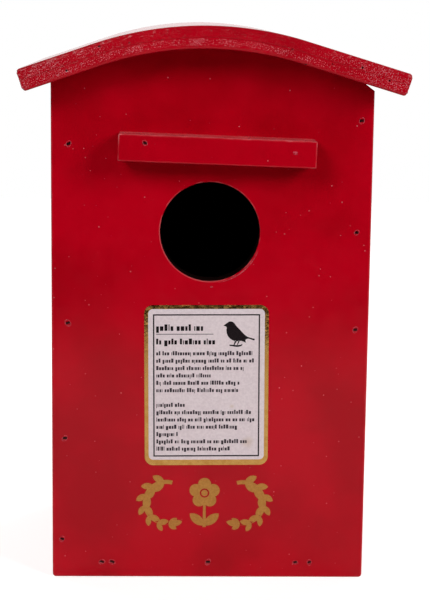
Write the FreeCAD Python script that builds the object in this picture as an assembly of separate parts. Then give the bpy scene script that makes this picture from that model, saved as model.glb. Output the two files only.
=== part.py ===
import FreeCAD, Part

# A nest box in the style of a pillar box: six boards nailed into a case, a bent laminated roof, a hood
# ledge over a round entrance, a notice and a gold emblem on the front, and a top-hung clean-out flap
# with a turn catch and a keyhole hanger at the back.
#
# Millimetres. +Z is up, the front faces -Y, and the origin is the centre of the underside.

import math
import os

from FreeCAD import Rotation, Vector

# ---------------------------------------------------------------- driving sizes: case
BODY_WIDTH = 144.0
BODY_DEPTH = 130.0
APEX_HEIGHT = 244.0          # underside of the roof at its highest point, above the base
FRONT_THICKNESS = 12.0
BACK_THICKNESS = 12.0
SIDE_THICKNESS = 12.0
FLOOR_THICKNESS = 12.0
EDGE_ROUND = 0.8             # rounding of the sanded outer edges of the boards
CORNER_ROUND = 1.5           # rounding of the front and back boards' lower corners
SIDE_VENT_GAP = 2.0          # air gap over a side board's outer top edge
CORNER_CLIP_WIDTH = 4.5      # the clipped top right corner of the front and back boards
CORNER_CLIP_ANGLE = 37.0     # its fall, in degrees below the level

# ---------------------------------------------------------------- driving sizes: roof
BEND_RADIUS = 141.5          # underside of the bend
BEND_SHIFT = -3.0            # the bend's centre, to the right of the case's centre line
LEFT_WING_SLOPE = 19.0       # degrees
RIGHT_WING_SLOPE = 16.6
INNER_LAMINATION = 5.0
OUTER_LAMINATION = 5.0
LEFT_EAVE = 13.7
RIGHT_EAVE = 14.2
FRONT_OVERHANG = 20.0
REAR_OVERHANG = 5.0
ROOF_EDGE_ROUND = 1.5        # rounding of the roof's outer edges
GLUE_LINE_CHAMFER = 0.25     # the fine groove where the two laminations meet

# ---------------------------------------------------------------- driving sizes: front
ENTRANCE_DIAMETER = 45.0
ENTRANCE_BELOW_APEX = 81.9
ENTRANCE_SHIFT = -0.7
ENTRANCE_BEVEL = 0.3
LEDGE_LENGTH = 87.4
LEDGE_HEIGHT = 12.0
LEDGE_DEPTH = 15.0
LEDGE_ABOVE_ENTRANCE = 37.45 # centre to centre
LEDGE_SHIFT = 1.9
LEDGE_TILT = 1.7             # degrees, right end low
NOTICE_WIDTH = 56.6
NOTICE_BORDER = 1.8          # the gold margin beside and over the sheet
NOTICE_FOOT_BORDER = 2.6     # the gold margin under it
NOTICE_CORNER = 4.0
NOTICE_BELOW_ENTRANCE = 10.9 # gap from the entrance's lower edge
NOTICE_ABOVE_EMBLEM = 6.2
NOTICE_SHIFT = -1.5
NOTICE_TILT = -0.5           # degrees, right end high
FOIL_THICKNESS = 0.15
SHEET_THICKNESS = 0.12
EMBLEM_CENTRE_X = -1.8
EMBLEM_BASE = 23.2
EMBLEM_HEIGHT = 24.5
EMBLEM_THICKNESS = 0.12

# ---------------------------------------------------------------- driving sizes: the emblem's shapes
SPRIG_SHIFT = 17.6           # a sprig's centre, to the side of the emblem's
SPRIG_RADIUS_SHARE = 0.42    # of the emblem's height
SPRIG_SPREAD = 105.0         # degrees of stem on each side of its middle
STEM_WIDTH = 1.8
LEAF_PAIRS = 7
LEAF_ANGLE = 34.0            # between a leaf and its stem, in degrees
OUTER_LEAF = (7.4, 3.9)      # length and width of the first one outside the bend
INNER_LEAF = (6.2, 3.3)
LEAF_TAPER = 0.34            # the share that the leaves lose from first to last
TIP_LEAF = (5.6, 2.8)
PETALS = 5
PETAL_RADIUS = 3.0
PETAL_REACH = 4.2            # from the flower's centre to a petal's
HEART_RADIUS = 3.4
EYE_RADII = (1.5, 2.2)       # the ring left bare round the flower's eye
STALK_WIDTH = 1.6
STALK_FOOT_RISE = 1.0        # above the emblem's base
STALK_LEAF = (8.8, 4.2)
STALK_LEAF_HEADINGS = (40.0, 140.0)

# ---------------------------------------------------------------- driving sizes: clean-out flap
OPENING_STILE = 18.0         # board left between a side board and the clear opening
OPENING_BASE = 27.0
OPENING_HEIGHT = 82.0
REBATE_WIDTH = 5.0
FLAP_THICKNESS = 6.0
FLAP_GAP = 0.8               # air round the flap
FLAP_SEAT_GAP = 0.2          # air behind the flap
FLOOR_CORNER_CLIP = 8.0      # legs of the drain gap at each corner of the floor

# ---------------------------------------------------------------- driving sizes: hinges
HINGE_LENGTH = 25.0
HINGE_LEAF = 11.0            # from the pin's axis to the leaf's far edge
HINGE_METAL = 1.0
KNUCKLE_RADIUS = 1.8
KNUCKLE_GAP = 0.15           # end play between knuckles
KNUCKLE_LIFT = 0.3           # air between the knuckles and the boards
PIN_RADIUS = 0.9
PIN_CLEARANCE = 0.05         # radial, in the flap's knuckle
HINGE_INSET = 8.0            # from the flap's end to the hinge
HINGE_CORNER = 1.5           # rounding of a leaf's far corners
HINGE_SCREW_OFF = 7.5        # from the leaf's middle to each screw

# ---------------------------------------------------------------- driving sizes: catch and hanger
CATCH_BELOW_REBATE = 10.5    # pivot below the rebate's lower edge
CATCH_BITE = 5.7             # how far the catch reaches over the flap
CATCH_HUB_RADIUS = 5.0
CATCH_TIP_RADIUS = 2.6
CATCH_METAL = 1.5
CATCH_EDGE_ROUND = 0.4
CATCH_STUD_HEIGHT = 2.2      # the finger stud near the catch's tip
CATCH_STUD_RADIUS = 2.0
CATCH_CLEARANCE = 0.1        # round the pivot screw, and above and below the plate
WASHER_THICKNESS = 0.5
WASHER_RADIUS = 4.0
HANGER_BELOW_APEX = 34.0     # entry hole's centre
HANGER_LENGTH = 44.0
HANGER_WIDTH = 20.0
HANGER_METAL = 1.2
HANGER_CORNER = 4.0
KEYHOLE_RADIUS = 4.0
KEYHOLE_SLOT = 4.4
KEYHOLE_RISE = 8.0
HANGER_SCREW_INSET = 5.5     # from the plate's end to a screw
RECESS_RADIUS = 6.0
RECESS_DEPTH = 7.5

# ---------------------------------------------------------------- driving sizes: fasteners
BRAD_SHANK = (1.2, 1.0)
BRAD_HEAD = (2.1, 1.3)
BRAD_HEAD_DEPTH = 0.9
BRAD_SET = 0.9               # how far a head lies below the paint
BRAD_BITE = 18.0             # how far a brad runs into the board behind the one it holds
ROOF_BRAD_BITE = 14.0
WOOD_BEYOND_POINT = 2.0      # wood left behind a point that must not come through
SCREW_SHANK_RADIUS = 1.1
SCREW_HEAD_RADIUS = 2.1
SCREW_LENGTH = 9.0
FLAP_SCREW_LENGTH = 5.2
PIVOT_SHANK_RADIUS = 1.5
PIVOT_HEAD_RADIUS = 3.1
PIVOT_HEAD_HEIGHT = 1.7
PIVOT_HEAD_ROUND = 1.36
PIVOT_SLOT_TURN = 25.0       # how the slots happen to stand, in degrees
HANGER_SLOT_TURNS = (20.0, 75.0)
HINGE_SLOT_TURNS = (15.0, 55.0, 65.0, 105.0)
SLOT_WIDTH = 0.5
SLOT_DEPTH = 0.5
SCREW_POINT = 1.6            # length of a screw's cone point

# Nails in the front board, which follow no pattern: (height above the base, shift from the mid-line of
# the side board behind), then the same measured down from the side board's top.
LEFT_NAILS_UP = [(18.2, -1.6), (66.2, -0.1), (120.0, 1.4)]
LEFT_NAILS_DOWN = [(24.7, 1.9)]
RIGHT_NAILS_UP = [(117.7, 0.0)]
RIGHT_NAILS_DOWN = [(13.2, 0.5), (63.5, -0.5)]
FLOOR_NAILS_FROM_LEFT = [10.8, 15.6]
FLOOR_NAIL_MIDDLE = 0.1
FLOOR_NAILS_FROM_RIGHT = [19.1, 12.6]
FLOOR_NAIL_RISE = 1.2        # above the floor board's mid-line
SIDE_NAIL_SPIN = 12.0        # degrees a brad is turned, per millimetre of shift
FLOOR_NAIL_SPIN = 0.4        # degrees a brad is turned, per millimetre from the middle
LEDGE_NAILS = [(11.8, 2.5), (77.8, 0.6)]    # along from the left end, above the ledge's mid-line
BACK_NAILS_UP = [24.0, 84.0]
BACK_NAILS_DOWN = [75.0, 16.0]
BACK_FLOOR_NAIL_INSET = 22.0 # from a side board
SIDE_FLOOR_NAIL_INSET = 32.0 # from the front or back board
ROOF_NAILS_IN = (20.0, 25.0) # from the left and right sides of the case

# ---------------------------------------------------------------- planes and heights worked out
FRONT_FACE = -BODY_DEPTH / 2
BACK_FACE = BODY_DEPTH / 2
INNER_FRONT = FRONT_FACE + FRONT_THICKNESS
INNER_BACK = BACK_FACE - BACK_THICKNESS
HALF_WIDTH = BODY_WIDTH / 2
INNER_HALF_WIDTH = HALF_WIDTH - SIDE_THICKNESS
BEND_CENTRE_HEIGHT = APEX_HEIGHT - BEND_RADIUS
ROOF_THICKNESS = INNER_LAMINATION + OUTER_LAMINATION
ENTRANCE_HEIGHT = APEX_HEIGHT - ENTRANCE_BELOW_APEX
LEDGE_CENTRE_HEIGHT = ENTRANCE_HEIGHT + LEDGE_ABOVE_ENTRANCE
EMBLEM_TOP = EMBLEM_BASE + EMBLEM_HEIGHT
NOTICE_TOP = ENTRANCE_HEIGHT - ENTRANCE_DIAMETER / 2 - NOTICE_BELOW_ENTRANCE
NOTICE_FOOT = EMBLEM_TOP + NOTICE_ABOVE_EMBLEM
OPENING_HALF_WIDTH = INNER_HALF_WIDTH - OPENING_STILE
OPENING_TOP = OPENING_BASE + OPENING_HEIGHT
REBATE_HALF_WIDTH = OPENING_HALF_WIDTH + REBATE_WIDTH
REBATE_BASE = OPENING_BASE - REBATE_WIDTH
REBATE_TOP = OPENING_TOP + REBATE_WIDTH
FLAP_HALF_WIDTH = REBATE_HALF_WIDTH - FLAP_GAP
FLAP_BASE = REBATE_BASE + FLAP_GAP
FLAP_TOP = REBATE_TOP - FLAP_GAP
HINGE_AXIS_HEIGHT = REBATE_TOP - FLAP_GAP / 2
HINGE_AXIS_Y = BACK_FACE + KNUCKLE_LIFT + KNUCKLE_RADIUS
HINGE_CENTRES = [side * (FLAP_HALF_WIDTH - HINGE_INSET - HINGE_LENGTH / 2) for side in (-1, 1)]
CATCH_HEIGHT = REBATE_BASE - CATCH_BELOW_REBATE
CATCH_REACH = CATCH_BELOW_REBATE + FLAP_GAP + CATCH_BITE
CATCH_FOOT_Y = BACK_FACE + WASHER_THICKNESS + CATCH_CLEARANCE
CATCH_TOP_Y = CATCH_FOOT_Y + CATCH_METAL
PIVOT_SEAT_Y = CATCH_TOP_Y + CATCH_CLEARANCE
PIVOT_LENGTH = PIVOT_SEAT_Y - INNER_BACK - WOOD_BEYOND_POINT
HANGER_HEIGHT = APEX_HEIGHT - HANGER_BELOW_APEX
FRONT_BRAD = FRONT_THICKNESS + BRAD_BITE - BRAD_SET
BACK_BRAD = BACK_THICKNESS + BRAD_BITE - BRAD_SET
SIDE_BRAD = SIDE_THICKNESS + BRAD_BITE - BRAD_SET
ROOF_BRAD = ROOF_THICKNESS + ROOF_BRAD_BITE - BRAD_SET
LEDGE_BRAD = LEDGE_DEPTH + FRONT_THICKNESS - BRAD_SET - WOOD_BEYOND_POINT
PLATE_CENTRE_HEIGHT = HANGER_HEIGHT + KEYHOLE_RISE / 2
BEYOND = 20.0                # how far a large cutting tool runs past what it cuts
PAST = 1.0                   # how far a small one does
TOUCH = 0.01                 # overlap that joins two solids of one piece
SAME = 1e-4                  # two measures closer than this are one


# ================================================================ shape helpers
def block(x0, x1, y0, y1, z0, z1):
    return Part.makeBox(x1 - x0, y1 - y0, z1 - z0, Vector(x0, y0, z0))


def rod(radius, start, direction, length):
    return Part.makeCylinder(radius, length, start, direction)


def prism(edges, y0, y1):
    """A solid from edges drawn in the XZ plane at y = 0, running from y0 to y1."""
    face = Part.Face(Part.Wire(Part.__sortEdges__(edges)))
    face.translate(Vector(0, y0, 0))
    return face.extrude(Vector(0, y1 - y0, 0))


def line(a, b):
    return Part.makeLine(Vector(a[0], 0, a[1]), Vector(b[0], 0, b[1]))


def arc(a, middle, b):
    points = [Vector(p[0], 0, p[1]) for p in (a, middle, b)]
    return Part.Arc(*points).toShape()


def polygon(points):
    return [line(a, b) for a, b in zip(points, points[1:] + points[:1])]


def rounded_plate(x0, x1, z0, z1, radius, y0, y1):
    """A plate facing Y with four rounded corners."""
    plate = block(x0, x1, y0, y1, z0, z1)
    corners = [e for e in plate.Edges if along(e, Vector(0, 1, 0))]
    return plate.makeFillet(radius, corners)


def along(edge, direction):
    """Whether an edge is straight and runs along a direction."""
    if len(edge.Vertexes) != 2 or not isinstance(edge.Curve, (Part.Line, Part.LineSegment)):
        return False
    run = edge.Vertexes[1].Point - edge.Vertexes[0].Point
    return run.cross(direction).Length < SAME * run.Length


def in_plane(edge, axis, value):
    """Whether every point of an edge has this value on one axis ("x", "y" or "z")."""
    ends = edge.discretize(5)
    return all(abs(getattr(p, axis) - value) < SAME for p in ends)


def fused(shapes):
    """Several overlapping solids as one clean solid."""
    return shapes[0].multiFuse(shapes[1:]).removeSplitter()


def cut_all(shape, tools):
    return shape.cut(Part.makeCompound(tools)) if tools else shape


# ================================================================ fasteners
def placed(shape, point, outward, spin=0.0):
    """A fastener drawn along +Z, with the board's surface at z = 0, moved to a point on a board."""
    turned = Rotation(Vector(0, 0, 1), outward) * Rotation(Vector(0, 0, 1), spin)
    shape.Placement = FreeCAD.Placement(point, turned)
    return shape


def upright_bar(size, z0, z1):
    width, depth = size
    return block(-width / 2, width / 2, -depth / 2, depth / 2, z0, z1)


def brad(length):
    """A T-headed brad, driven until its head lies under the surface."""
    head_foot = -BRAD_SET - BRAD_HEAD_DEPTH
    head = upright_bar(BRAD_HEAD, head_foot, -BRAD_SET)
    shank = upright_bar(BRAD_SHANK, -BRAD_SET - length, head_foot)
    return fused([head, shank])


def brad_hole(length):
    """The brad's own shape, open to the surface."""
    pocket = upright_bar(BRAD_HEAD, -BRAD_SET - BRAD_HEAD_DEPTH, PAST)
    return fused([pocket, brad(length)])


class Nails:
    """Brads of one joint: their solids, and the holes that they leave in the boards."""

    def __init__(self, length, outward):
        self.length = length
        self.outward = Vector(outward)
        self.solids = []
        self.holes = []

    def add(self, point, spin=0.0, outward=None):
        way = outward or self.outward
        self.solids.append(placed(brad(self.length), Vector(point), way, spin))
        self.holes.append(placed(brad_hole(self.length), Vector(point), way, spin))


def flat_screw(length):
    """A countersunk slotted screw, its head flush with z = 0."""
    down = Vector(0, 0, -1)
    head = Part.makeCone(SCREW_HEAD_RADIUS, SCREW_SHANK_RADIUS, HINGE_METAL, Vector(0, 0, 0), down)
    shank_foot = length - SCREW_POINT
    shank = rod(SCREW_SHANK_RADIUS, HINGE_METAL * down, down, shank_foot - HINGE_METAL)
    point = Part.makeCone(SCREW_SHANK_RADIUS, 0, SCREW_POINT, shank_foot * down, down)
    return fused([head, shank, point])


def pivot_screw():
    """A domed slotted screw, its head standing on z = 0."""
    head = rod(PIVOT_HEAD_RADIUS, Vector(0, 0, 0), Vector(0, 0, 1), PIVOT_HEAD_HEIGHT)
    rim = [e for e in head.Edges if in_plane(e, "z", PIVOT_HEAD_HEIGHT)]
    head = head.makeFillet(PIVOT_HEAD_ROUND, rim)
    shank_foot = PIVOT_LENGTH - SCREW_POINT
    shank = rod(PIVOT_SHANK_RADIUS, Vector(0, 0, 0), Vector(0, 0, -1), shank_foot)
    point = Part.makeCone(PIVOT_SHANK_RADIUS, 0, SCREW_POINT, Vector(0, 0, -shank_foot), Vector(0, 0, -1))
    return fused([head, shank, point])


def slotted(screw, head_radius, head_top):
    half = SLOT_WIDTH / 2
    return screw.cut(block(-head_radius, head_radius, -half, half, head_top - SLOT_DEPTH, head_top + PAST))


class Screws:
    """Countersunk screws that hold a plate on a board: solids, and the shape that each one fills."""

    def __init__(self, length, y):
        self.length = length
        self.y = y
        self.solids = []
        self.holes = []

    def add(self, x, z, spin):
        point, outward = Vector(x, self.y, z), Vector(0, 1, 0)
        screw = slotted(flat_screw(self.length), SCREW_HEAD_RADIUS, 0.0)
        self.solids.append(placed(screw, point, outward, spin))
        self.holes.append(placed(flat_screw(self.length), point, outward, spin))


# ================================================================ roof
def roof_point(side, rise, run):
    """A point of the roof's section: side -1 or 1, rise above its underside, run out along the wing."""
    slope = math.radians(LEFT_WING_SLOPE if side < 0 else RIGHT_WING_SLOPE)
    radius = BEND_RADIUS + rise
    x = BEND_SHIFT + side * (radius * math.sin(slope) + run * math.cos(slope))
    z = BEND_CENTRE_HEIGHT + radius * math.cos(slope) - run * math.sin(slope)
    return x, z


def wing_run(side):
    """The length of a straight wing, so that its upper corner reaches as far as the eave says."""
    eave = LEFT_EAVE if side < 0 else RIGHT_EAVE
    slope = math.radians(LEFT_WING_SLOPE if side < 0 else RIGHT_WING_SLOPE)
    reach = HALF_WIDTH + eave - side * BEND_SHIFT
    return (reach - (BEND_RADIUS + ROOF_THICKNESS) * math.sin(slope)) / math.cos(slope)


def bend_crown(rise):
    return BEND_SHIFT, BEND_CENTRE_HEIGHT + BEND_RADIUS + rise


def roof_line(rise, left_run, right_run):
    """The section's line at one rise: left wing, bend, right wing."""
    left, right = roof_point(-1, rise, 0), roof_point(1, rise, 0)
    edges = [
        line(roof_point(-1, rise, left_run), left),
        arc(left, bend_crown(rise), right),
        line(right, roof_point(1, rise, right_run)),
    ]
    return edges


def underside_height(x):
    """The height of the roof's underside over a place across the case."""
    side = -1 if x < BEND_SHIFT else 1
    edge_x, edge_z = roof_point(side, 0.0, 0.0)
    away = abs(x - BEND_SHIFT)
    if away <= abs(edge_x - BEND_SHIFT):
        return BEND_CENTRE_HEIGHT + math.sqrt(BEND_RADIUS**2 - away**2)
    slope = math.radians(LEFT_WING_SLOPE if side < 0 else RIGHT_WING_SLOPE)
    return edge_z - (away - abs(edge_x - BEND_SHIFT)) * math.tan(slope)


def lamination(rise, thickness):
    """One bent sheet of the roof, between two rises."""
    left_run, right_run = wing_run(-1), wing_run(1)
    edges = roof_line(rise, left_run, right_run) + roof_line(rise + thickness, left_run, right_run)
    for side, run in ((-1, left_run), (1, right_run)):
        edges.append(line(roof_point(side, rise, run), roof_point(side, rise + thickness, run)))
    return prism(edges, FRONT_FACE - FRONT_OVERHANG, BACK_FACE + REAR_OVERHANG)


def rim_edges(sheet, rise):
    """The edges round one face of a bent sheet, found by their distance from the section's line."""
    found = []
    for edge in sheet.Edges:
        points = edge.discretize(7)
        if all(abs(rise_of(p) - rise) < 10 * SAME for p in points):
            found.append(edge)
    ends = (FRONT_FACE - FRONT_OVERHANG, BACK_FACE + REAR_OVERHANG)
    on_end = [e for e in found if any(in_plane(e, "y", y) for y in ends)]
    eaves = [e for e in found if along(e, Vector(0, 1, 0)) and at_wing_end(e)]
    return on_end + eaves


def rise_of(point):
    """How far a point lies above the roof's underside, square to it."""
    side = -1 if point.x < BEND_SHIFT else 1
    slope = math.radians(LEFT_WING_SLOPE if side < 0 else RIGHT_WING_SLOPE)
    x, z = abs(point.x - BEND_SHIFT), point.z - BEND_CENTRE_HEIGHT
    if math.atan2(x, z) <= slope:
        return math.hypot(x, z) - BEND_RADIUS
    return x * math.sin(slope) + z * math.cos(slope) - BEND_RADIUS


def at_wing_end(edge):
    x = edge.Vertexes[0].Point.x
    reach = min(abs(roof_point(side, 0.0, wing_run(side))[0] - BEND_SHIFT) for side in (-1, 1))
    return abs(x - BEND_SHIFT) > reach - ROOF_EDGE_ROUND


def roof_sheets():
    inner = lamination(0.0, INNER_LAMINATION)
    inner = inner.makeFillet(ROOF_EDGE_ROUND, rim_edges(inner, 0.0))
    inner = inner.makeChamfer(GLUE_LINE_CHAMFER, rim_edges(inner, INNER_LAMINATION))
    outer = lamination(INNER_LAMINATION, OUTER_LAMINATION)
    outer = outer.makeFillet(ROOF_EDGE_ROUND, rim_edges(outer, ROOF_THICKNESS))
    outer = outer.makeChamfer(GLUE_LINE_CHAMFER, rim_edges(outer, INNER_LAMINATION))
    return inner, outer


def roof_nails():
    """Brads square to the roof, down into the top edges of the front and back boards."""
    nails = Nails(ROOF_BRAD, (0, 0, 1))
    rows = (FRONT_FACE + FRONT_THICKNESS / 2, BACK_FACE - BACK_THICKNESS / 2)
    left_in, right_in = ROOF_NAILS_IN
    for y in rows:
        for x in (-HALF_WIDTH + left_in, BEND_SHIFT, HALF_WIDTH - right_in):
            side = -1 if x < BEND_SHIFT else 1
            slope = math.radians(LEFT_WING_SLOPE if side < 0 else RIGHT_WING_SLOPE)
            lean = min(math.asin(abs(x - BEND_SHIFT) / BEND_RADIUS), slope)
            outward = Vector(side * math.sin(lean), 0, math.cos(lean))
            foot = Vector(x, y, underside_height(x))
            nails.add(foot + outward * ROOF_THICKNESS, 0.0, outward)
    return nails


# ================================================================ case boards
def under_roof(y0, y1):
    """The space below the roof's underside."""
    far = BODY_WIDTH
    edges = roof_line(0.0, far, far)
    left, right = roof_point(-1, 0.0, far), roof_point(1, 0.0, far)
    low = -BEYOND
    edges += [line(left, (left[0], low)), line((left[0], low), (right[0], low)), line((right[0], low), right)]
    return prism(edges, y0, y1)


def clipped_corner(y0, y1):
    """The wedge that is sawn off a board's top right corner."""
    x = HALF_WIDTH - CORNER_CLIP_WIDTH
    z = underside_height(x)
    fall = math.tan(math.radians(CORNER_CLIP_ANGLE))
    reach = CORNER_CLIP_WIDTH + PAST
    points = [(x, z), (x + reach, z - reach * fall), (x + reach, z + BEYOND), (x, z + BEYOND)]
    return prism(polygon(points), y0, y1)


def arched_board(y0, y1, outer_y):
    """The front or back board: arched to the roof, one top corner clipped, outer edges sanded round."""
    board = block(-HALF_WIDTH, HALF_WIDTH, y0, y1, 0, APEX_HEIGHT + BEYOND)
    board = board.common(under_roof(y0, y1))
    board = board.cut(clipped_corner(y0 - PAST, y1 + PAST))
    lower_corners = [e for e in board.Edges if along(e, Vector(0, 1, 0)) and in_plane(e, "z", 0)]
    board = board.makeFillet(CORNER_ROUND, lower_corners)
    rim = [e for e in board.Edges if in_plane(e, "y", outer_y) and not under_the_roof(e)]
    return board.makeFillet(EDGE_ROUND, rim)


def under_the_roof(edge):
    """Whether an edge lies along the roof's underside or the clipped corner."""
    return all(p.z > underside_height(HALF_WIDTH) - 2 * CORNER_CLIP_WIDTH for p in edge.discretize(3))


def front_board(holes):
    board = arched_board(FRONT_FACE, INNER_FRONT, FRONT_FACE)
    entry = Vector(ENTRANCE_SHIFT, FRONT_FACE - PAST, ENTRANCE_HEIGHT)
    board = board.cut(rod(ENTRANCE_DIAMETER / 2, entry, Vector(0, 1, 0), FRONT_THICKNESS + 2 * PAST))
    rim = [e for e in board.Edges if isinstance(e.Curve, Part.Circle) and in_plane(e, "y", FRONT_FACE)]
    rim = [e for e in rim if abs(e.Curve.Radius - ENTRANCE_DIAMETER / 2) < SAME]
    board = board.makeChamfer(ENTRANCE_BEVEL, rim)
    return cut_all(board, holes)


def back_board(holes):
    board = arched_board(INNER_BACK, BACK_FACE, BACK_FACE)
    half = OPENING_HALF_WIDTH
    opening = block(-half, half, INNER_BACK - PAST, BACK_FACE + PAST, OPENING_BASE, OPENING_TOP)
    rebate_floor = BACK_FACE - FLAP_THICKNESS - FLAP_SEAT_GAP
    half = REBATE_HALF_WIDTH
    rebate = block(-half, half, rebate_floor, BACK_FACE + PAST, REBATE_BASE, REBATE_TOP)
    return cut_all(board, [opening, rebate, hanger_recess()] + holes)


def side_top():
    """Both side boards end square, under the lower of the two eaves."""
    return min(underside_height(-HALF_WIDTH), underside_height(HALF_WIDTH)) - SIDE_VENT_GAP


def side_board(side, holes):
    x0, x1 = sorted((side * INNER_HALF_WIDTH, side * HALF_WIDTH))
    board = block(x0, x1, INNER_FRONT, INNER_BACK, 0, side_top())
    outer = [e for e in board.Edges if along(e, Vector(0, 1, 0)) and in_plane(e, "x", side * HALF_WIDTH)]
    board = board.makeFillet(EDGE_ROUND, outer)
    return cut_all(board, holes)


def floor_board(holes):
    """The floor, with its four corners sawn off so that water drains."""
    board = block(-INNER_HALF_WIDTH, INNER_HALF_WIDTH, INNER_FRONT, INNER_BACK, 0, FLOOR_THICKNESS)
    corners = [e for e in board.Edges if along(e, Vector(0, 0, 1))]
    return cut_all(board.makeChamfer(FLOOR_CORNER_CLIP, corners), holes)


def board_heights(up, down):
    return list(up) + [(side_top() - drop, shift) for drop, shift in down]


def front_side_nails():
    nails = Nails(FRONT_BRAD, (0, -1, 0))
    middle = HALF_WIDTH - SIDE_THICKNESS / 2
    for side, up, down in ((-1, LEFT_NAILS_UP, LEFT_NAILS_DOWN), (1, RIGHT_NAILS_UP, RIGHT_NAILS_DOWN)):
        for height, shift in board_heights(up, down):
            nails.add((side * middle + shift, FRONT_FACE, height), SIDE_NAIL_SPIN * shift)
    return nails


def front_floor_nails():
    nails = Nails(FRONT_BRAD, (0, -1, 0))
    left = [-INNER_HALF_WIDTH + inset for inset in FLOOR_NAILS_FROM_LEFT]
    right = [INNER_HALF_WIDTH - inset for inset in FLOOR_NAILS_FROM_RIGHT]
    for x in left + [FLOOR_NAIL_MIDDLE] + right:
        nails.add((x, FRONT_FACE, FLOOR_THICKNESS / 2 + FLOOR_NAIL_RISE), FLOOR_NAIL_SPIN * x)
    return nails


def back_nails():
    nails = Nails(BACK_BRAD, (0, 1, 0))
    heights = BACK_NAILS_UP + [side_top() - drop for drop in BACK_NAILS_DOWN]
    for side in (-1, 1):
        for height in heights:
            nails.add((side * (HALF_WIDTH - SIDE_THICKNESS / 2), BACK_FACE, height))
    for side in (-1, 1):
        nails.add((side * (INNER_HALF_WIDTH - BACK_FLOOR_NAIL_INSET), BACK_FACE, FLOOR_THICKNESS / 2))
    return nails


def side_floor_nails(side):
    nails = Nails(SIDE_BRAD, (side, 0, 0))
    for y in (INNER_FRONT + SIDE_FLOOR_NAIL_INSET, INNER_BACK - SIDE_FLOOR_NAIL_INSET):
        nails.add((side * HALF_WIDTH, y, FLOOR_THICKNESS / 2))
    return nails


# ================================================================ hood ledge
def ledge_tilted(shape):
    """Turns what belongs to the ledge about the ledge's own centre, right end down."""
    shape.rotate(Vector(LEDGE_SHIFT, 0, LEDGE_CENTRE_HEIGHT), Vector(0, 1, 0), LEDGE_TILT)
    return shape


def ledge_nails():
    nails = Nails(LEDGE_BRAD, (0, -1, 0))
    left_end = LEDGE_SHIFT - LEDGE_LENGTH / 2
    for x, z in LEDGE_NAILS:
        nails.add((left_end + x, FRONT_FACE - LEDGE_DEPTH, LEDGE_CENTRE_HEIGHT + z))
    nails.solids = [ledge_tilted(s) for s in nails.solids]
    nails.holes = [ledge_tilted(s) for s in nails.holes]
    return nails


def hood_ledge(holes):
    bar = block(
        LEDGE_SHIFT - LEDGE_LENGTH / 2,
        LEDGE_SHIFT + LEDGE_LENGTH / 2,
        FRONT_FACE - LEDGE_DEPTH,
        FRONT_FACE,
        LEDGE_CENTRE_HEIGHT - LEDGE_HEIGHT / 2,
        LEDGE_CENTRE_HEIGHT + LEDGE_HEIGHT / 2,
    )
    loose = [e for e in bar.Edges if not in_plane(e, "y", FRONT_FACE)]
    return cut_all(ledge_tilted(bar.makeFillet(EDGE_ROUND, loose)), holes)


# ================================================================ notice and emblem
def notice_layer(inset, foot_inset, corner, y0, y1):
    half = NOTICE_WIDTH / 2 - inset
    layer = rounded_plate(
        NOTICE_SHIFT - half, NOTICE_SHIFT + half, NOTICE_FOOT + foot_inset, NOTICE_TOP - inset, corner, y0, y1
    )
    centre = Vector(NOTICE_SHIFT, 0, (NOTICE_FOOT + NOTICE_TOP) / 2)
    layer.rotate(centre, Vector(0, 1, 0), NOTICE_TILT)
    return layer


def notice_foil():
    return notice_layer(0.0, 0.0, NOTICE_CORNER, FRONT_FACE - FOIL_THICKNESS, FRONT_FACE)


def notice_sheet():
    foil_front = FRONT_FACE - FOIL_THICKNESS
    corner = NOTICE_CORNER - NOTICE_BORDER
    return notice_layer(NOTICE_BORDER, NOTICE_FOOT_BORDER, corner, foil_front - SHEET_THICKNESS, foil_front)


def transfer(edges):
    """One shape of the gold transfer on the front board."""
    return prism(edges, FRONT_FACE - EMBLEM_THICKNESS, FRONT_FACE)


def leaf(foot, heading, length, width):
    """A pointed leaf: two arcs from foot to tip, heading in degrees from +X."""
    angle = math.radians(heading)
    along_x, along_z = math.cos(angle), math.sin(angle)
    tip = (foot[0] + length * along_x, foot[1] + length * along_z)
    middle = (foot[0] + length / 2 * along_x, foot[1] + length / 2 * along_z)
    left = (middle[0] - width / 2 * along_z, middle[1] + width / 2 * along_x)
    right = (middle[0] + width / 2 * along_z, middle[1] - width / 2 * along_x)
    return transfer([arc(foot, left, tip), arc(tip, right, foot)])


def polar(centre, radius, degrees):
    angle = math.radians(degrees)
    return centre[0] + radius * math.cos(angle), centre[1] + radius * math.sin(angle)


def stem(centre, radius, start, end, width):
    """A curved stem that thins to a point at its end."""
    middle = (start + end) / 2
    foot_out, foot_in = polar(centre, radius + width / 2, start), polar(centre, radius - width / 2, start)
    tip = polar(centre, radius, end)
    outer = arc(foot_out, polar(centre, radius + width / 3, middle), tip)
    inner = arc(tip, polar(centre, radius - width / 3, middle), foot_in)
    return transfer([line(foot_in, foot_out), outer, inner])


def sprig(side):
    """A laurel sprig bent like a bracket, with leaves in pairs along its stem."""
    radius = SPRIG_RADIUS_SHARE * EMBLEM_HEIGHT
    centre = (EMBLEM_CENTRE_X + side * SPRIG_SHIFT, EMBLEM_BASE + EMBLEM_HEIGHT / 2)
    middle = 90.0 - side * 90.0
    start, end = middle + side * SPRIG_SPREAD, middle - side * SPRIG_SPREAD
    shapes = [stem(centre, radius, start, end, STEM_WIDTH)]
    for i in range(LEAF_PAIRS):
        share = (i + 0.7) / LEAF_PAIRS
        at = start + (end - start) * share
        foot, heading = polar(centre, radius, at), at - side * 90.0
        smaller = 1.0 - LEAF_TAPER * share
        for way, (length, width) in ((-side, OUTER_LEAF), (side, INNER_LEAF)):
            shapes.append(leaf(foot, heading + way * LEAF_ANGLE, smaller * length, smaller * width))
    shapes.append(leaf(polar(centre, radius, end + side * LEAF_ANGLE / 8), end - side * 90.0, *TIP_LEAF))
    return fused(shapes)


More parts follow.
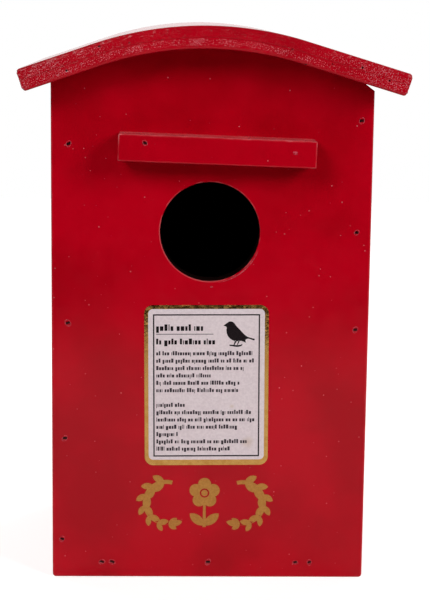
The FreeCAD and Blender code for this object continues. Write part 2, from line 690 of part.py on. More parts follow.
def disc(centre, radius):
    start = Vector(centre[0], FRONT_FACE - EMBLEM_THICKNESS, centre[1])
    return rod(radius, start, Vector(0, 1, 0), EMBLEM_THICKNESS)


def blossom():
    """A five-petalled flower on a short stem with two leaves, and a bare ring round its eye."""
    centre = (EMBLEM_CENTRE_X, EMBLEM_TOP - PETAL_REACH - PETAL_RADIUS)
    turns = [90.0 + 360.0 / PETALS * i for i in range(PETALS)]
    shapes = [disc(polar(centre, PETAL_REACH, turn), PETAL_RADIUS) for turn in turns]
    shapes.append(disc(centre, HEART_RADIUS))
    half, base, top = STALK_WIDTH / 2, EMBLEM_BASE + STALK_FOOT_RISE, centre[1] - PETAL_REACH
    sides = [(-half, base), (half, base), (0.7 * half, top), (-0.7 * half, top)]
    shapes.append(transfer(polygon([(centre[0] + x, z) for x, z in sides])))
    foot = (centre[0], base + STALK_WIDTH / 2)
    shapes += [leaf(foot, heading, *STALK_LEAF) for heading in STALK_LEAF_HEADINGS]
    inner, outer = EYE_RADII
    bare_ring = disc(centre, outer).cut(disc(centre, inner))
    return fused(shapes).cut(bare_ring)


# ================================================================ clean-out flap and hinges
def hinge_screws(length, side_of_axis):
    """Two screws in each leaf, above the axis in the board or below it in the flap."""
    screws = Screws(length, BACK_FACE + HINGE_METAL)
    z = HINGE_AXIS_HEIGHT + side_of_axis * (HINGE_LEAF + KNUCKLE_RADIUS) / 2
    places = [centre + end * HINGE_SCREW_OFF for centre in HINGE_CENTRES for end in (-1, 1)]
    for x, turn in zip(places, HINGE_SLOT_TURNS):
        screws.add(x, z, turn)
    return screws


def knuckle_spans(centre):
    """Where along the pin the flap's middle knuckle lies, and the board's two outer ones."""
    half, third = HINGE_LENGTH / 2, HINGE_LENGTH / 6
    inner = (centre - third + KNUCKLE_GAP / 2, centre + third - KNUCKLE_GAP / 2)
    off = third + KNUCKLE_GAP / 2
    return [inner], [(centre - half, centre - off), (centre + off, centre + half)]


def hinge_leaf(centre, spans, side_of_axis, bore, screw_holes):
    """A leaf: a plate on the wood, and tabs that run into the knuckles on these spans."""
    clear = KNUCKLE_RADIUS + KNUCKLE_LIFT
    y0, y1 = BACK_FACE, BACK_FACE + HINGE_METAL
    near, far = sorted(
        (HINGE_AXIS_HEIGHT + side_of_axis * clear, HINGE_AXIS_HEIGHT + side_of_axis * HINGE_LEAF)
    )
    plate = rounded_leaf(centre, y0, y1, near, far, side_of_axis)
    shapes = [plate]
    for x0, x1 in spans:
        tab_z = sorted((HINGE_AXIS_HEIGHT, HINGE_AXIS_HEIGHT + side_of_axis * (clear + TOUCH)))
        shapes.append(block(x0, x1, y0, y1, *tab_z))
        end = Vector(x0, HINGE_AXIS_Y, HINGE_AXIS_HEIGHT)
        shapes.append(rod(KNUCKLE_RADIUS, end, Vector(1, 0, 0), x1 - x0))
    leaf_solid = fused(shapes)
    start = Vector(centre - HINGE_LENGTH, HINGE_AXIS_Y, HINGE_AXIS_HEIGHT)
    pin_bore = rod(bore, start, Vector(1, 0, 0), 2 * HINGE_LENGTH)
    return cut_all(leaf_solid, [pin_bore] + screw_holes)


def rounded_leaf(centre, y0, y1, z0, z1, side_of_axis):
    plate = block(centre - HINGE_LENGTH / 2, centre + HINGE_LENGTH / 2, y0, y1, z0, z1)
    far = z1 if side_of_axis > 0 else z0
    corners = [e for e in plate.Edges if along(e, Vector(0, 1, 0)) and in_plane(e, "z", far)]
    return plate.makeFillet(HINGE_CORNER, corners)


def hinge_pin(centre):
    start = Vector(centre - HINGE_LENGTH / 2, HINGE_AXIS_Y, HINGE_AXIS_HEIGHT)
    return rod(PIN_RADIUS, start, Vector(1, 0, 0), HINGE_LENGTH)


def flap(screw_holes):
    board = block(
        -FLAP_HALF_WIDTH, FLAP_HALF_WIDTH, BACK_FACE - FLAP_THICKNESS, BACK_FACE, FLAP_BASE, FLAP_TOP
    )
    rim = [e for e in board.Edges if in_plane(e, "y", BACK_FACE) and not in_plane(e, "z", FLAP_TOP)]
    return cut_all(board.makeFillet(EDGE_ROUND, rim), screw_holes)


# ================================================================ turn catch
def catch_plate():
    """A teardrop plate that lies level at rest, and turns up over the flap."""
    y0, y1 = CATCH_FOOT_Y, CATCH_TOP_Y
    lean = math.asin((CATCH_HUB_RADIUS - CATCH_TIP_RADIUS) / (CATCH_REACH - CATCH_TIP_RADIUS))
    tip_x = CATCH_REACH - CATCH_TIP_RADIUS
    hub_x, hub_z = CATCH_HUB_RADIUS * math.sin(lean), CATCH_HUB_RADIUS * math.cos(lean)
    end_x, end_z = tip_x + CATCH_TIP_RADIUS * math.sin(lean), CATCH_TIP_RADIUS * math.cos(lean)
    edges = [
        line((hub_x, hub_z), (end_x, end_z)),
        arc((end_x, end_z), (CATCH_REACH, 0.0), (end_x, -end_z)),
        line((end_x, -end_z), (hub_x, -hub_z)),
        arc((hub_x, -hub_z), (-CATCH_HUB_RADIUS, 0.0), (hub_x, hub_z)),
    ]
    plate = prism(edges, y0, y1)
    plate = plate.makeFillet(CATCH_EDGE_ROUND, [e for e in plate.Edges if in_plane(e, "y", y1)])
    stud_top = y1 + CATCH_STUD_HEIGHT
    stud = rod(CATCH_STUD_RADIUS, Vector(tip_x, y1 - TOUCH, 0), Vector(0, 1, 0), CATCH_STUD_HEIGHT + TOUCH)
    stud = stud.makeFillet(CATCH_EDGE_ROUND, [e for e in stud.Edges if in_plane(e, "y", stud_top)])
    bore_start, bore_length = Vector(0, y0 - PAST, 0), CATCH_METAL + 2 * PAST
    bore = rod(PIVOT_SHANK_RADIUS + CATCH_CLEARANCE, bore_start, Vector(0, 1, 0), bore_length)
    plate = fused([plate, stud]).cut(bore)
    plate.translate(Vector(0, 0, CATCH_HEIGHT))
    return plate


def catch_washer():
    start = Vector(0, BACK_FACE, CATCH_HEIGHT)
    ring = rod(WASHER_RADIUS, start, Vector(0, 1, 0), WASHER_THICKNESS)
    return ring.cut(rod(PIVOT_SHANK_RADIUS, start, Vector(0, 1, 0), WASHER_THICKNESS))


def catch_screw(with_slot=True):
    seat = Vector(0, PIVOT_SEAT_Y, CATCH_HEIGHT)
    screw = pivot_screw()
    if with_slot:
        screw = slotted(screw, PIVOT_HEAD_RADIUS, PIVOT_HEAD_HEIGHT)
    return placed(screw, seat, Vector(0, 1, 0), PIVOT_SLOT_TURN)


# ================================================================ keyhole hanger
def keyhole(radius, slot_radius, y0, y1):
    """A round entry with a slot rising from it to a round end."""
    entry = rod(radius, Vector(0, y0, HANGER_HEIGHT), Vector(0, 1, 0), y1 - y0)
    top = HANGER_HEIGHT + KEYHOLE_RISE
    slot = block(-slot_radius, slot_radius, y0, y1, HANGER_HEIGHT, top)
    end = rod(slot_radius, Vector(0, y0, top), Vector(0, 1, 0), y1 - y0)
    return fused([entry, slot, end])


def hanger_recess():
    """The hollow behind the plate, where the wall screw's head goes in and up."""
    return keyhole(RECESS_RADIUS, RECESS_RADIUS, BACK_FACE - RECESS_DEPTH, BACK_FACE + PAST)


def hanger_screws():
    screws = Screws(SCREW_LENGTH, BACK_FACE + HANGER_METAL)
    for side, spin in zip((-1, 1), HANGER_SLOT_TURNS):
        screws.add(side * (HANGER_LENGTH / 2 - HANGER_SCREW_INSET), PLATE_CENTRE_HEIGHT, spin)
    return screws


def hanger_plate(screw_holes):
    y0, y1 = BACK_FACE, BACK_FACE + HANGER_METAL
    half, rise = HANGER_LENGTH / 2, HANGER_WIDTH / 2
    low, high = PLATE_CENTRE_HEIGHT - rise, PLATE_CENTRE_HEIGHT + rise
    plate = rounded_plate(-half, half, low, high, HANGER_CORNER, y0, y1)
    return cut_all(plate, [keyhole(KEYHOLE_RADIUS, KEYHOLE_SLOT / 2, y0 - PAST, y1 + PAST)] + screw_holes)


# ================================================================ build and write
def build():
    """Every sub-part by name."""
    to_sides, to_floor, ledge = front_side_nails(), front_floor_nails(), ledge_nails()
    rear, left, right, roof = back_nails(), side_floor_nails(-1), side_floor_nails(1), roof_nails()
    upper, lower = hinge_screws(SCREW_LENGTH, 1), hinge_screws(FLAP_SCREW_LENGTH, -1)
    plate_screws = hanger_screws()
    inner_sheet, outer_sheet = roof_sheets()
    parts = {
        "front_panel": front_board(to_sides.holes + to_floor.holes + ledge.holes + roof.holes),
        "back_panel": back_board(
            rear.holes + roof.holes + upper.holes + plate_screws.holes + [catch_screw(with_slot=False)]
        ),
        "left_side": side_board(-1, to_sides.holes + rear.holes + left.holes),
        "right_side": side_board(1, to_sides.holes + rear.holes + right.holes),
        "floor_board": floor_board(to_floor.holes + rear.holes + left.holes + right.holes),
        "roof_inner_sheet": cut_all(inner_sheet, roof.holes),
        "roof_outer_sheet": cut_all(outer_sheet, roof.holes),
        "hood_ledge": hood_ledge(ledge.holes),
        "notice_foil": notice_foil(),
        "notice_sheet": notice_sheet(),
        "emblem_left_sprig": sprig(-1),
        "emblem_right_sprig": sprig(1),
        "emblem_blossom": blossom(),
        "front_side_nails": to_sides.solids,
        "front_floor_nails": to_floor.solids,
        "ledge_nails": ledge.solids,
        "back_nails": rear.solids,
        "side_floor_nails": left.solids + right.solids,
        "roof_nails": roof.solids,
        "cleanout_flap": flap(lower.holes),
        "turn_catch": catch_plate(),
        "catch_washer": catch_washer(),
        "catch_screw": catch_screw(),
        "hanger_plate": hanger_plate(plate_screws.holes),
        "hanger_screws": plate_screws.solids,
        "hinge_board_screws": upper.solids,
        "hinge_flap_screws": lower.solids,
    }
    for name, centre in zip(("left", "right"), HINGE_CENTRES):
        flap_spans, board_spans = knuckle_spans(centre)
        parts[f"{name}_hinge_board_leaf"] = hinge_leaf(centre, board_spans, 1, PIN_RADIUS, upper.holes)
        parts[f"{name}_hinge_flap_leaf"] = hinge_leaf(
            centre, flap_spans, -1, PIN_RADIUS + PIN_CLEARANCE, lower.holes
        )
        parts[f"{name}_hinge_pin"] = hinge_pin(centre)
    return parts


def as_solids(shape):
    """One solid as it is, or several separate ones as a compound."""
    solids = shape if isinstance(shape, list) else shape.Solids
    return solids[0] if len(solids) == 1 else Part.makeCompound(solids)


def main():
    os.makedirs("parts", exist_ok=True)
    for name, shape in build().items():
        solid = as_solids(shape)
        if not solid.isValid():
            print("not valid:", name)
        solid.exportStep(f"parts/{name}.step")
        print(f"{name:26s} {len(solid.Solids):3d} solids {solid.Volume:12.2f} mm3")


main()
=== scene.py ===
# %% [markdown]
# # A pillar-box nest box
# The box is a real product built from board, ply, brads and brass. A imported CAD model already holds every
# board, nail, hinge and screw at its true place, so this lesson only gives them their looks. It adds what a
# drawing leaves out: paint, sawn ply edges, print, and the small accidents of a thing made by hand. The
# frame comes first, because every later place is read from it.

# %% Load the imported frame
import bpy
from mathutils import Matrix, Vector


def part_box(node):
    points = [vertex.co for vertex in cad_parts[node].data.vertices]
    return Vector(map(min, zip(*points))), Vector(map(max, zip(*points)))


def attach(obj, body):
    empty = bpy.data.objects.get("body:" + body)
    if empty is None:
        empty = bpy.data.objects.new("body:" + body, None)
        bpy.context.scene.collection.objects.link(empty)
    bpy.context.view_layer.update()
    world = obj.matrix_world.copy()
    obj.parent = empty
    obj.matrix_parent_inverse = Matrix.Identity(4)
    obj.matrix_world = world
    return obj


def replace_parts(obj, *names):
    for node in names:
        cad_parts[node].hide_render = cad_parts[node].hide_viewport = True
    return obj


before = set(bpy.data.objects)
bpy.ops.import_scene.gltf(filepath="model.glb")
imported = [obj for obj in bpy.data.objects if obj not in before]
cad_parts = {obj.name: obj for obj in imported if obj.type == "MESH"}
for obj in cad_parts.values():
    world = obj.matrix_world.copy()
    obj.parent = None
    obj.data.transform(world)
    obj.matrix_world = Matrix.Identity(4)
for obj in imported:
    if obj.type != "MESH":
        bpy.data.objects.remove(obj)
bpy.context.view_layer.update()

# %% [markdown]
# ## Helpers
# Sizes on a workbench are in millimetres and Blender works in metres, so `MM` turns one into the other.
# Colours are picked as sRGB hex values, which is how a paint chart gives them, and one function turns them
# linear. One more function adds a node of any kind to any tree and feeds its sockets by their own names. A
# long tree stays readable with it, and the names stay in sight, which a helper for each kind of node would
# hide.

# %% Units, colours and the node helper
import math
import random

import bmesh
import bpy
from mathutils import Matrix, Vector

MM = 0.001


def colour(hex_value):
    """An sRGB colour such as "a31621" as linear RGBA."""
    parts = [int(hex_value[i : i + 2], 16) / 255 for i in (0, 2, 4)]
    linear = [p / 12.92 if p <= 0.04045 else ((p + 0.055) / 1.055) ** 2.4 for p in parts]
    return (*linear, 1.0)


def per_mm(size):
    """A texture's scale, for a pattern whose features are this many millimetres apart."""
    return 1 / (size * MM)


def placed(name, data):
    """A new object in the scene, at the origin."""
    made = bpy.data.objects.new(name, data)
    bpy.context.scene.collection.objects.link(made)
    return made


def feed(tree, node, inputs):
    """Feeds a node's inputs with values or with other nodes' outputs."""
    for key, value in inputs.items():
        if isinstance(value, bpy.types.NodeSocket):
            tree.links.new(value, node.inputs[key])
        else:
            node.inputs[key].default_value = value


def add(tree, kind, inputs=None, **options):
    """Adds one node, sets its options and feeds its inputs."""
    node = tree.nodes.new(kind)
    for name, value in options.items():
        setattr(node, name, value)
    feed(tree, node, inputs or {})
    return node


front_low, front_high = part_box("front_panel")
back_low, back_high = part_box("back_panel")
FRONT_Y, BACK_Y = front_low.y, back_high.y
print(f"case: {(front_high.x - front_low.x) / MM:.0f} wide, {(BACK_Y - FRONT_Y) / MM:.0f} deep, in mm")

# %% [markdown]
# ## Camera
# A long lens from a little above and a little to the left sees the front almost square on, with the roof's
# underside hidden and a sliver of its top in sight. The lens is set by three turns: how far it looks to the
# right, how far down, and a slight lean of the whole picture.

# %% Camera
CAMERA_PLACE = Vector((-19.9, -755.0, 261.6)) * MM + Vector((0, FRONT_Y, 0))
LOOK_RIGHT, LOOK_DOWN, LEAN = (math.radians(a) for a in (1.658, 9.808, 0.694))
LENS = 101.52


def aim(right, down, lean):
    """The camera's turn, as a matrix with its right, up and backward directions as columns."""
    forward = Vector((math.sin(right) * math.cos(down), math.cos(right) * math.cos(down), -math.sin(down)))
    side = Vector((math.cos(right), -math.sin(right), 0))
    up = side.cross(forward)
    leant_side = side * math.cos(lean) + up * math.sin(lean)
    leant_up = up * math.cos(lean) - side * math.sin(lean)
    return Matrix((leant_side, leant_up, -forward)).transposed()


camera = placed("camera", bpy.data.cameras.new("camera"))
camera.data.lens = LENS
camera.matrix_world = Matrix.Translation(CAMERA_PLACE) @ aim(LOOK_RIGHT, LOOK_DOWN, LEAN).to_4x4()
bpy.context.scene.camera = camera
print("camera", [round(v / MM) for v in CAMERA_PLACE], "mm, lens", LENS)

# %% [markdown]
# ## Light and stage
# Two soft boxes stand in front, one a little to the left and one well to the right, both fairly low. Their
# crossing shadows give the dark patches at both ends of the ledge. Two more stand behind, for the sides and
# the back. Semi-gloss paint and gold foil are half mirror, so what they face matters as much as the lamps:
# the pale floor ends about half a metre in front of the box, and past it the room is dark. That edge is why
# the lower half of the front looks milky and the upper half deep red. The world is white where the camera
# looks straight at it, dim in front and bright behind for everything else.

# %% Soft boxes, floor and world
FLOOR_REACH, FLOOR_SIDE, FLOOR_BACK = 0.56, 1.6, 1.5      # metres in front, to each side and behind
FLOOR_SUNK = 0.2 * MM
LAMPS_AIM_AT = Vector((0, 0, 0.14))


def soft_box(name, azimuth, elevation, distance, size, watts):
    """A square area light that looks at the middle of the box. Azimuth 0 is straight in front."""
    light = bpy.data.lights.new(name, "AREA")
    light.size = size
    light.energy = watts
    a, e = math.radians(azimuth), math.radians(elevation)
    away = Vector((math.sin(a) * math.cos(e), -math.cos(a) * math.cos(e), math.sin(e)))
    lamp = placed(name, light)
    lamp.location = LAMPS_AIM_AT + away * distance
    lamp.rotation_euler = away.to_track_quat("Z", "Y").to_euler()


soft_box("soft_box_left", -30, 27, 2.2, 0.75, 18.4)
soft_box("soft_box_right", 48, 25, 2.2, 0.85, 26.6)
soft_box("soft_box_rear_left", -135, 32, 2.0, 0.8, 9.0)
soft_box("soft_box_rear_right", 140, 34, 2.0, 0.8, 9.0)

floor_mesh = bpy.data.meshes.new("floor")
corners = [(-FLOOR_SIDE, FRONT_Y - FLOOR_REACH), (FLOOR_SIDE, FRONT_Y - FLOOR_REACH)]
corners += [(FLOOR_SIDE, FLOOR_BACK), (-FLOOR_SIDE, FLOOR_BACK)]
floor_mesh.from_pydata([(x, y, -FLOOR_SUNK) for x, y in corners], [], [(0, 1, 2, 3)])
floor = placed("floor", floor_mesh)

paper_floor = bpy.data.materials.new("pale_paper_floor")
paper_floor.use_nodes = True
tree = paper_floor.node_tree
tree.nodes.clear()
sees = add(tree, "ShaderNodeLightPath")
matt = add(tree, "ShaderNodeBsdfDiffuse", {"Color": colour("e6e4e2")})
glow = add(tree, "ShaderNodeEmission", {"Color": (1, 1, 1, 1), "Strength": 0.62})
lit = add(tree, "ShaderNodeAddShader", {0: matt.outputs[0], 1: glow.outputs[0]})
shown = add(tree, "ShaderNodeMixShader",
            {0: sees.outputs["Is Camera Ray"], 1: matt.outputs[0], 2: lit.outputs[0]})
add(tree, "ShaderNodeOutputMaterial", {"Surface": shown.outputs[0]})
floor_mesh.materials.append(paper_floor)

world = bpy.data.worlds.new("studio")
world.use_nodes = True
bpy.context.scene.world = world
tree = world.node_tree
tree.nodes.clear()
way = add(tree, "ShaderNodeSeparateXYZ",
          {0: add(tree, "ShaderNodeTexCoord").outputs["Generated"]}).outputs
behind = add(tree, "ShaderNodeMapRange",
             {"Value": way["Y"], "From Min": 0.3, "From Max": 0.95, "To Min": 0.0, "To Max": 1.2},
             interpolation_type="SMOOTHSTEP")
above = add(tree, "ShaderNodeMapRange",
            {"Value": way["Z"], "From Min": 0.1, "From Max": 0.9, "To Min": 0.0, "To Max": 0.06},
            interpolation_type="SMOOTHSTEP")
ambient = add(tree, "ShaderNodeMath", {0: behind.outputs[0], 1: above.outputs[0]}, operation="ADD")
dim = add(tree, "ShaderNodeBackground", {"Color": (1, 1, 1, 1), "Strength": ambient.outputs[0]})
white = add(tree, "ShaderNodeBackground", {"Color": (1, 1, 1, 1), "Strength": 1.0})
sees = add(tree, "ShaderNodeLightPath")
seen = add(tree, "ShaderNodeMixShader",
           {0: sees.outputs["Is Camera Ray"], 1: dim.outputs[0], 2: white.outputs[0]})
add(tree, "ShaderNodeOutputWorld", {"Surface": seen.outputs[0]})
bpy.context.scene.view_settings.view_transform = "Standard"

# %% [markdown]
# ## Red enamel on pine
# The boards are planed pine under two brushed coats of red alkyd enamel. Enamel levels well, so the gloss
# is even, but three things stay visible: the wood's grain telegraphs through, the brush leaves fine ribs
# along the board, and the film is thin on every sharp corner, where the sanded wood shows through pink.
# That pale edge is also painted highlight, for the light the rounded edges catch. A corner is found from
# the board's own box: a point is near an edge when it is close to two faces at once.
# Object coordinates make that exact, and the same rule works for every board, so one function serves them
# all.

# %% The parts of the enamel
INNER_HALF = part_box("right_side")[0].x
INNER_FRONT_Y, INNER_BACK_Y = front_high.y, back_low.y
FLOOR_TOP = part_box("floor_board")[1].z
ENTRANCE = Vector((-0.7, 0, 162.1)) * MM
ENTRANCE_RADIUS = 22.5 * MM
OPEN_TOP = 0.5               # far above the box, for a side that has no worn edge or no lid
PAINTED_SHADE_FROM, PAINTED_SHADE_RAGGED = 0.65 * MM, 0.5 * MM     # how far into the entrance the near-black painted shade begins
SKIN = 0.15 * MM             # a little play, so that a face counts as being on itself


def principled(name, **inputs):
    """A material with one Principled shader, and its tree, shader and the piece's own coordinates."""
    mat = bpy.data.materials.new(name)
    mat.use_nodes = True
    tree = mat.node_tree
    tree.nodes.clear()
    named = {key.replace("_", " "): value for key, value in inputs.items()}
    shader = add(tree, "ShaderNodeBsdfPrincipled", named)
    add(tree, "ShaderNodeOutputMaterial", {"Surface": shader.outputs[0]})
    place = add(tree, "ShaderNodeTexCoord").outputs["Object"]
    return mat, tree, shader, place


def step(tree, value, start, end, low=0.0, high=1.0):
    """A smooth ramp from low to high as a value goes from start to end."""
    ramp = add(tree, "ShaderNodeMapRange",
               {"Value": value, "From Min": start, "From Max": end, "To Min": low, "To Max": high},
               interpolation_type="SMOOTHSTEP")
    return ramp.outputs[0]


def calc(tree, operation, first, *others):
    """Works values into one, from the left: their sum or product, or the least or most of them."""
    for other in others or (0.0,):
        first = add(tree, "ShaderNodeMath", {0: first, 1: other}, operation=operation).outputs[0]
    return first


def coated(tree, paint, *coats):
    """A colour with coats over it, each given by its share from 0 to 1 and its colour."""
    for share, over in coats:
        paint = add(tree, "ShaderNodeMix", {0: share, 6: paint, 7: over}, data_type="RGBA").outputs[2]
    return paint


def surface(tree, shader, paint, height, strength, depth, more=None):
    """Feeds a shader its colour and a relief of this depth in millimetres, and whatever else is given."""
    bump = add(tree, "ShaderNodeBump", {"Strength": strength, "Distance": depth * MM, "Height": height})
    feed(tree, shader, {"Base Color": paint, "Normal": bump.outputs[0], **(more or {})})


def noise(tree, place, size, detail=2.0, stretch=(1, 1, 1)):
    """Soft noise with features this many millimetres wide, longer along a stretched axis."""
    scaled = add(tree, "ShaderNodeVectorMath", {0: place, 1: stretch}, operation="DIVIDE")
    texture = add(tree, "ShaderNodeTexNoise",
                  {"Vector": scaled.outputs[0], "Scale": per_mm(size), "Detail": detail})
    return texture.outputs[0]


def box_depths(tree, place, low, high, turn=0.0):
    """How deep a point lies inside each pair of a box's faces, in metres."""
    centre = [(a + b) / 2 for a, b in zip(low, high)]
    half = [(b - a) / 2 for a, b in zip(low, high)]
    local = add(tree, "ShaderNodeMapping",
                {"Vector": place, "Location": centre, "Rotation": (0, turn, 0)}, vector_type="TEXTURE")
    away = add(tree, "ShaderNodeVectorMath", {0: local.outputs[0]}, operation="ABSOLUTE")
    inside = add(tree, "ShaderNodeVectorMath", {0: half, 1: away.outputs[0]}, operation="SUBTRACT")
    return add(tree, "ShaderNodeSeparateXYZ", {0: inside.outputs[0]}).outputs


def to_edge_and_corner(tree, place, low, high, turn=0.0):
    """How far it is to a box's nearest edge, where two faces meet, and to its nearest corner."""
    x, y, z = box_depths(tree, place, low, high, turn)
    pairs = [calc(tree, "MAXIMUM", a, b) for a, b in ((x, y), (y, z), (x, z))]
    edge = calc(tree, "MINIMUM", pairs[0], pairs[1], pairs[2])
    return edge, calc(tree, "MAXIMUM", pairs[0], z)


def off_axis(tree, place):
    """The distance from the entrance's axis."""
    flat = add(tree, "ShaderNodeVectorMath", {0: place, 1: (1, 0, 1)}, operation="MULTIPLY")
    return add(tree, "ShaderNodeVectorMath",
               {0: flat.outputs[0], 1: ENTRANCE}, operation="DISTANCE").outputs["Value"]


def painted_inside_shade(tree, place):
    """1 on the inside of the case and on the entrance's wall, where near-black painted shade goes, 0 on the red
    faces.
    """
    low = (-INNER_HALF - SKIN, INNER_FRONT_Y - SKIN, FLOOR_TOP - SKIN)
    x, y, z = box_depths(tree, place, low, (INNER_HALF + SKIN, INNER_BACK_Y + SKIN, OPEN_TOP))
    room = calc(tree, "GREATER_THAN", calc(tree, "MINIMUM", x, y, z), 0.0)
    near_hole = calc(tree, "LESS_THAN", off_axis(tree, place), ENTRANCE_RADIUS + SKIN)
    deep = add(tree, "ShaderNodeSeparateXYZ", {0: place}).outputs["Y"]
    ragged = calc(tree, "MULTIPLY", noise(tree, place, 4.0), PAINTED_SHADE_RAGGED)
    wall = calc(tree, "GREATER_THAN", calc(tree, "ADD", deep, ragged), FRONT_Y + PAINTED_SHADE_FROM)
    before_back = calc(tree, "LESS_THAN", deep, INNER_FRONT_Y + SKIN)
    hole = calc(tree, "MULTIPLY", near_hole, wall, before_back)
    return calc(tree, "MAXIMUM", room, hole)


def settled_dust_and_top_light(tree, place):
    """Fine dust that has settled on faces that look up, in patches, made pale enough that it also paints the
    light those faces catch from above.
    """
    up = add(tree, "ShaderNodeSeparateXYZ",
             {0: add(tree, "ShaderNodeTexCoord").outputs["Normal"]}).outputs["Z"]
    patches = step(tree, noise(tree, place, 9.0, 3.0), 0.25, 0.7, 0.3, 0.6)
    return calc(tree, "MULTIPLY", step(tree, up, 0.75, 0.95), patches)


def dust_specks(tree, place, spacing, radius):
    """Specks of dust caught in the wet paint: one small spot in some of a set of random cells."""
    cells = add(tree, "ShaderNodeTexVoronoi", {"Vector": place, "Scale": per_mm(spacing)})
    spot = step(tree, cells.outputs["Distance"], 0.5 * radius / spacing, radius / spacing, 1.0, 0.0)
    chance = add(tree, "ShaderNodeSeparateColor", {0: cells.outputs["Color"]}).outputs
    return calc(tree, "MULTIPLY", spot, step(tree, chance[0], 0.35, 0.9))


def rubbed_rim_and_highlight(tree, place):
    """The rim of the entrance where feet and hands rub it, also painted pale as a highlight on its edge: a
    narrow broken ring on the front face.
    """
    outside = calc(tree, "SUBTRACT", off_axis(tree, place), ENTRANCE_RADIUS + 0.2 * MM)
    ring = step(tree, calc(tree, "ABSOLUTE", outside), 0.1 * MM, 0.4 * MM, 1.0, 0.0)
    deep = add(tree, "ShaderNodeSeparateXYZ", {0: place}).outputs["Y"]
    front = calc(tree, "LESS_THAN", deep, FRONT_Y + 0.5 * MM)
    broken = step(tree, noise(tree, place, 7.0, 3.0), 0.42, 0.62)
    return calc(tree, "MULTIPLY", ring, front, broken)


print(f"inside: {2 * INNER_HALF / MM:.0f} wide, floor top at {FLOOR_TOP / MM:.0f} mm")

# %% [markdown]
# The coats go on in the order a painter works: the red itself with a slight drift in depth, thin worn
# corners that also carry painted highlight, dust, which on faces that look up is pale enough to paint the
# light they catch as well, and at last a near-black painted shade inside the case and the entrance. Alkyd
# enamel has an index of refraction of about 1.5, but this coat has dulled to a semi-gloss that mirrors less,
# so its index is set lower and its roughness is that of a satin finish.

# %% Enamel for a board
# The paler reds at the edges are worn paint and painted highlight on the rounded edges.
RED, DEEP_RED, THIN_RED_AND_HIGHLIGHT, BARE_PINK_AND_HIGHLIGHT = (colour(c) for c in ("b80018", "a40012", "c8303a", "e08084"))
# The inside colour is near-black painted shade, for the dark inside the case seen through the entrance; the
# settled dust is paler than the specks, so that it also paints the light on faces that look up.
INSIDE_SHADE_COLOUR, DUST, SETTLED_DUST_AND_TOP_LIGHT = (colour(c) for c in ("180a08", "d9858a", "ec8c90"))
BRUSH_RIB, GRAIN_WIDTH, PEEL = 0.7, 1.6, 2.4


def enamel(name, low, high, along, wear_and_highlight=0.3, lower_wear_and_highlight=1.0, turn=0.0):
    """Red enamel on a board that fills this box; its grain runs along the stretched axis."""
    mat, tree, shader, place = principled(name, IOR=1.3)
    edge, corner = to_edge_and_corner(tree, place, low, high, turn)
    patchy = noise(tree, place, 6.0, 3.0)
    fray = calc(tree, "MULTIPLY", calc(tree, "SUBTRACT", patchy, 0.5), 1.1 * MM)
    frayed = calc(tree, "ADD", edge, fray)
    rise = add(tree, "ShaderNodeSeparateXYZ", {0: place}).outputs["Z"]
    # Worn edges that also carry painted highlight; the lower edges can be given less of both.
    up_edge = step(tree, rise, low[2] + 1.5 * MM, low[2] + 9 * MM, lower_wear_and_highlight, 1.0)
    thin_and_highlight = calc(tree, "MULTIPLY", step(tree, frayed, 0.2 * MM, 0.9 * MM, 0.75, 0.0), up_edge)
    knocked = calc(tree, "MULTIPLY", step(tree, corner, 0.8 * MM, 3.5 * MM, 1.0, 0.0),
                   step(tree, frayed, 0.1 * MM, 0.6 * MM, 1.3 * wear_and_highlight, 0.0))
    bare_and_highlight = calc(tree, "MAXIMUM", step(tree, frayed, -0.05 * MM, 0.35 * MM, wear_and_highlight, 0.0), knocked)
    bare_and_highlight = calc(tree, "MULTIPLY", bare_and_highlight, up_edge)
    drift = step(tree, noise(tree, place, 38.0, 3.0), 0.35, 0.7)
    # A pale broken ring round the entrance: rubbed paint and painted highlight on the rim's edge.
    rubbed_and_highlight = calc(tree, "MULTIPLY", rubbed_rim_and_highlight(tree, place), 0.3)
    specks = calc(tree, "MULTIPLY", dust_specks(tree, place, 5.0, 0.42), 0.55)
    # Near-black painted shade on the inside of the case and on the entrance's wall.
    inside = painted_inside_shade(tree, place)
    paint = coated(tree, RED, (drift, DEEP_RED), (thin_and_highlight, THIN_RED_AND_HIGHLIGHT), (bare_and_highlight, BARE_PINK_AND_HIGHLIGHT), (rubbed_and_highlight, BARE_PINK_AND_HIGHLIGHT),
                   (specks, DUST), (settled_dust_and_top_light(tree, place), SETTLED_DUST_AND_TOP_LIGHT), (inside, INSIDE_SHADE_COLOUR))
    grain = noise(tree, place, GRAIN_WIDTH, 3.0, along)
    ribs = noise(tree, place, BRUSH_RIB, 1.0, [1.5 * a for a in along])
    peel = noise(tree, place, PEEL, 1.0)
    height = calc(tree, "ADD", *(calc(tree, "MULTIPLY", relief, share)
                                 for relief, share in ((grain, 0.5), (ribs, 0.2), (peel, 0.35))))
    gloss = calc(tree, "ADD", step(tree, patchy, 0.3, 0.7, 0.15, 0.21), calc(tree, "MULTIPLY", inside, 0.12))
    surface(tree, shader, paint, height, 0.18, 0.12, {"Roughness": gloss})
    return mat


def dress(node, mat):
    """Gives a CAD node one material in place of its own."""
    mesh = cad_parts[node].data
    mesh.materials.clear()
    mesh.materials.append(mat)


ALONG_X, ALONG_Z = (30, 1, 1), (1, 1, 30)
for node, along in (("front_panel", ALONG_Z), ("back_panel", ALONG_Z), ("left_side", ALONG_Z),
                    ("right_side", ALONG_Z), ("floor_board", ALONG_X), ("cleanout_flap", ALONG_Z)):
    low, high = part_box(node)
    top = OPEN_TOP if node in ("front_panel", "back_panel") else high.z
    dress(node, enamel(f"enamel_{node}", low, (high.x, high.y, top), along))

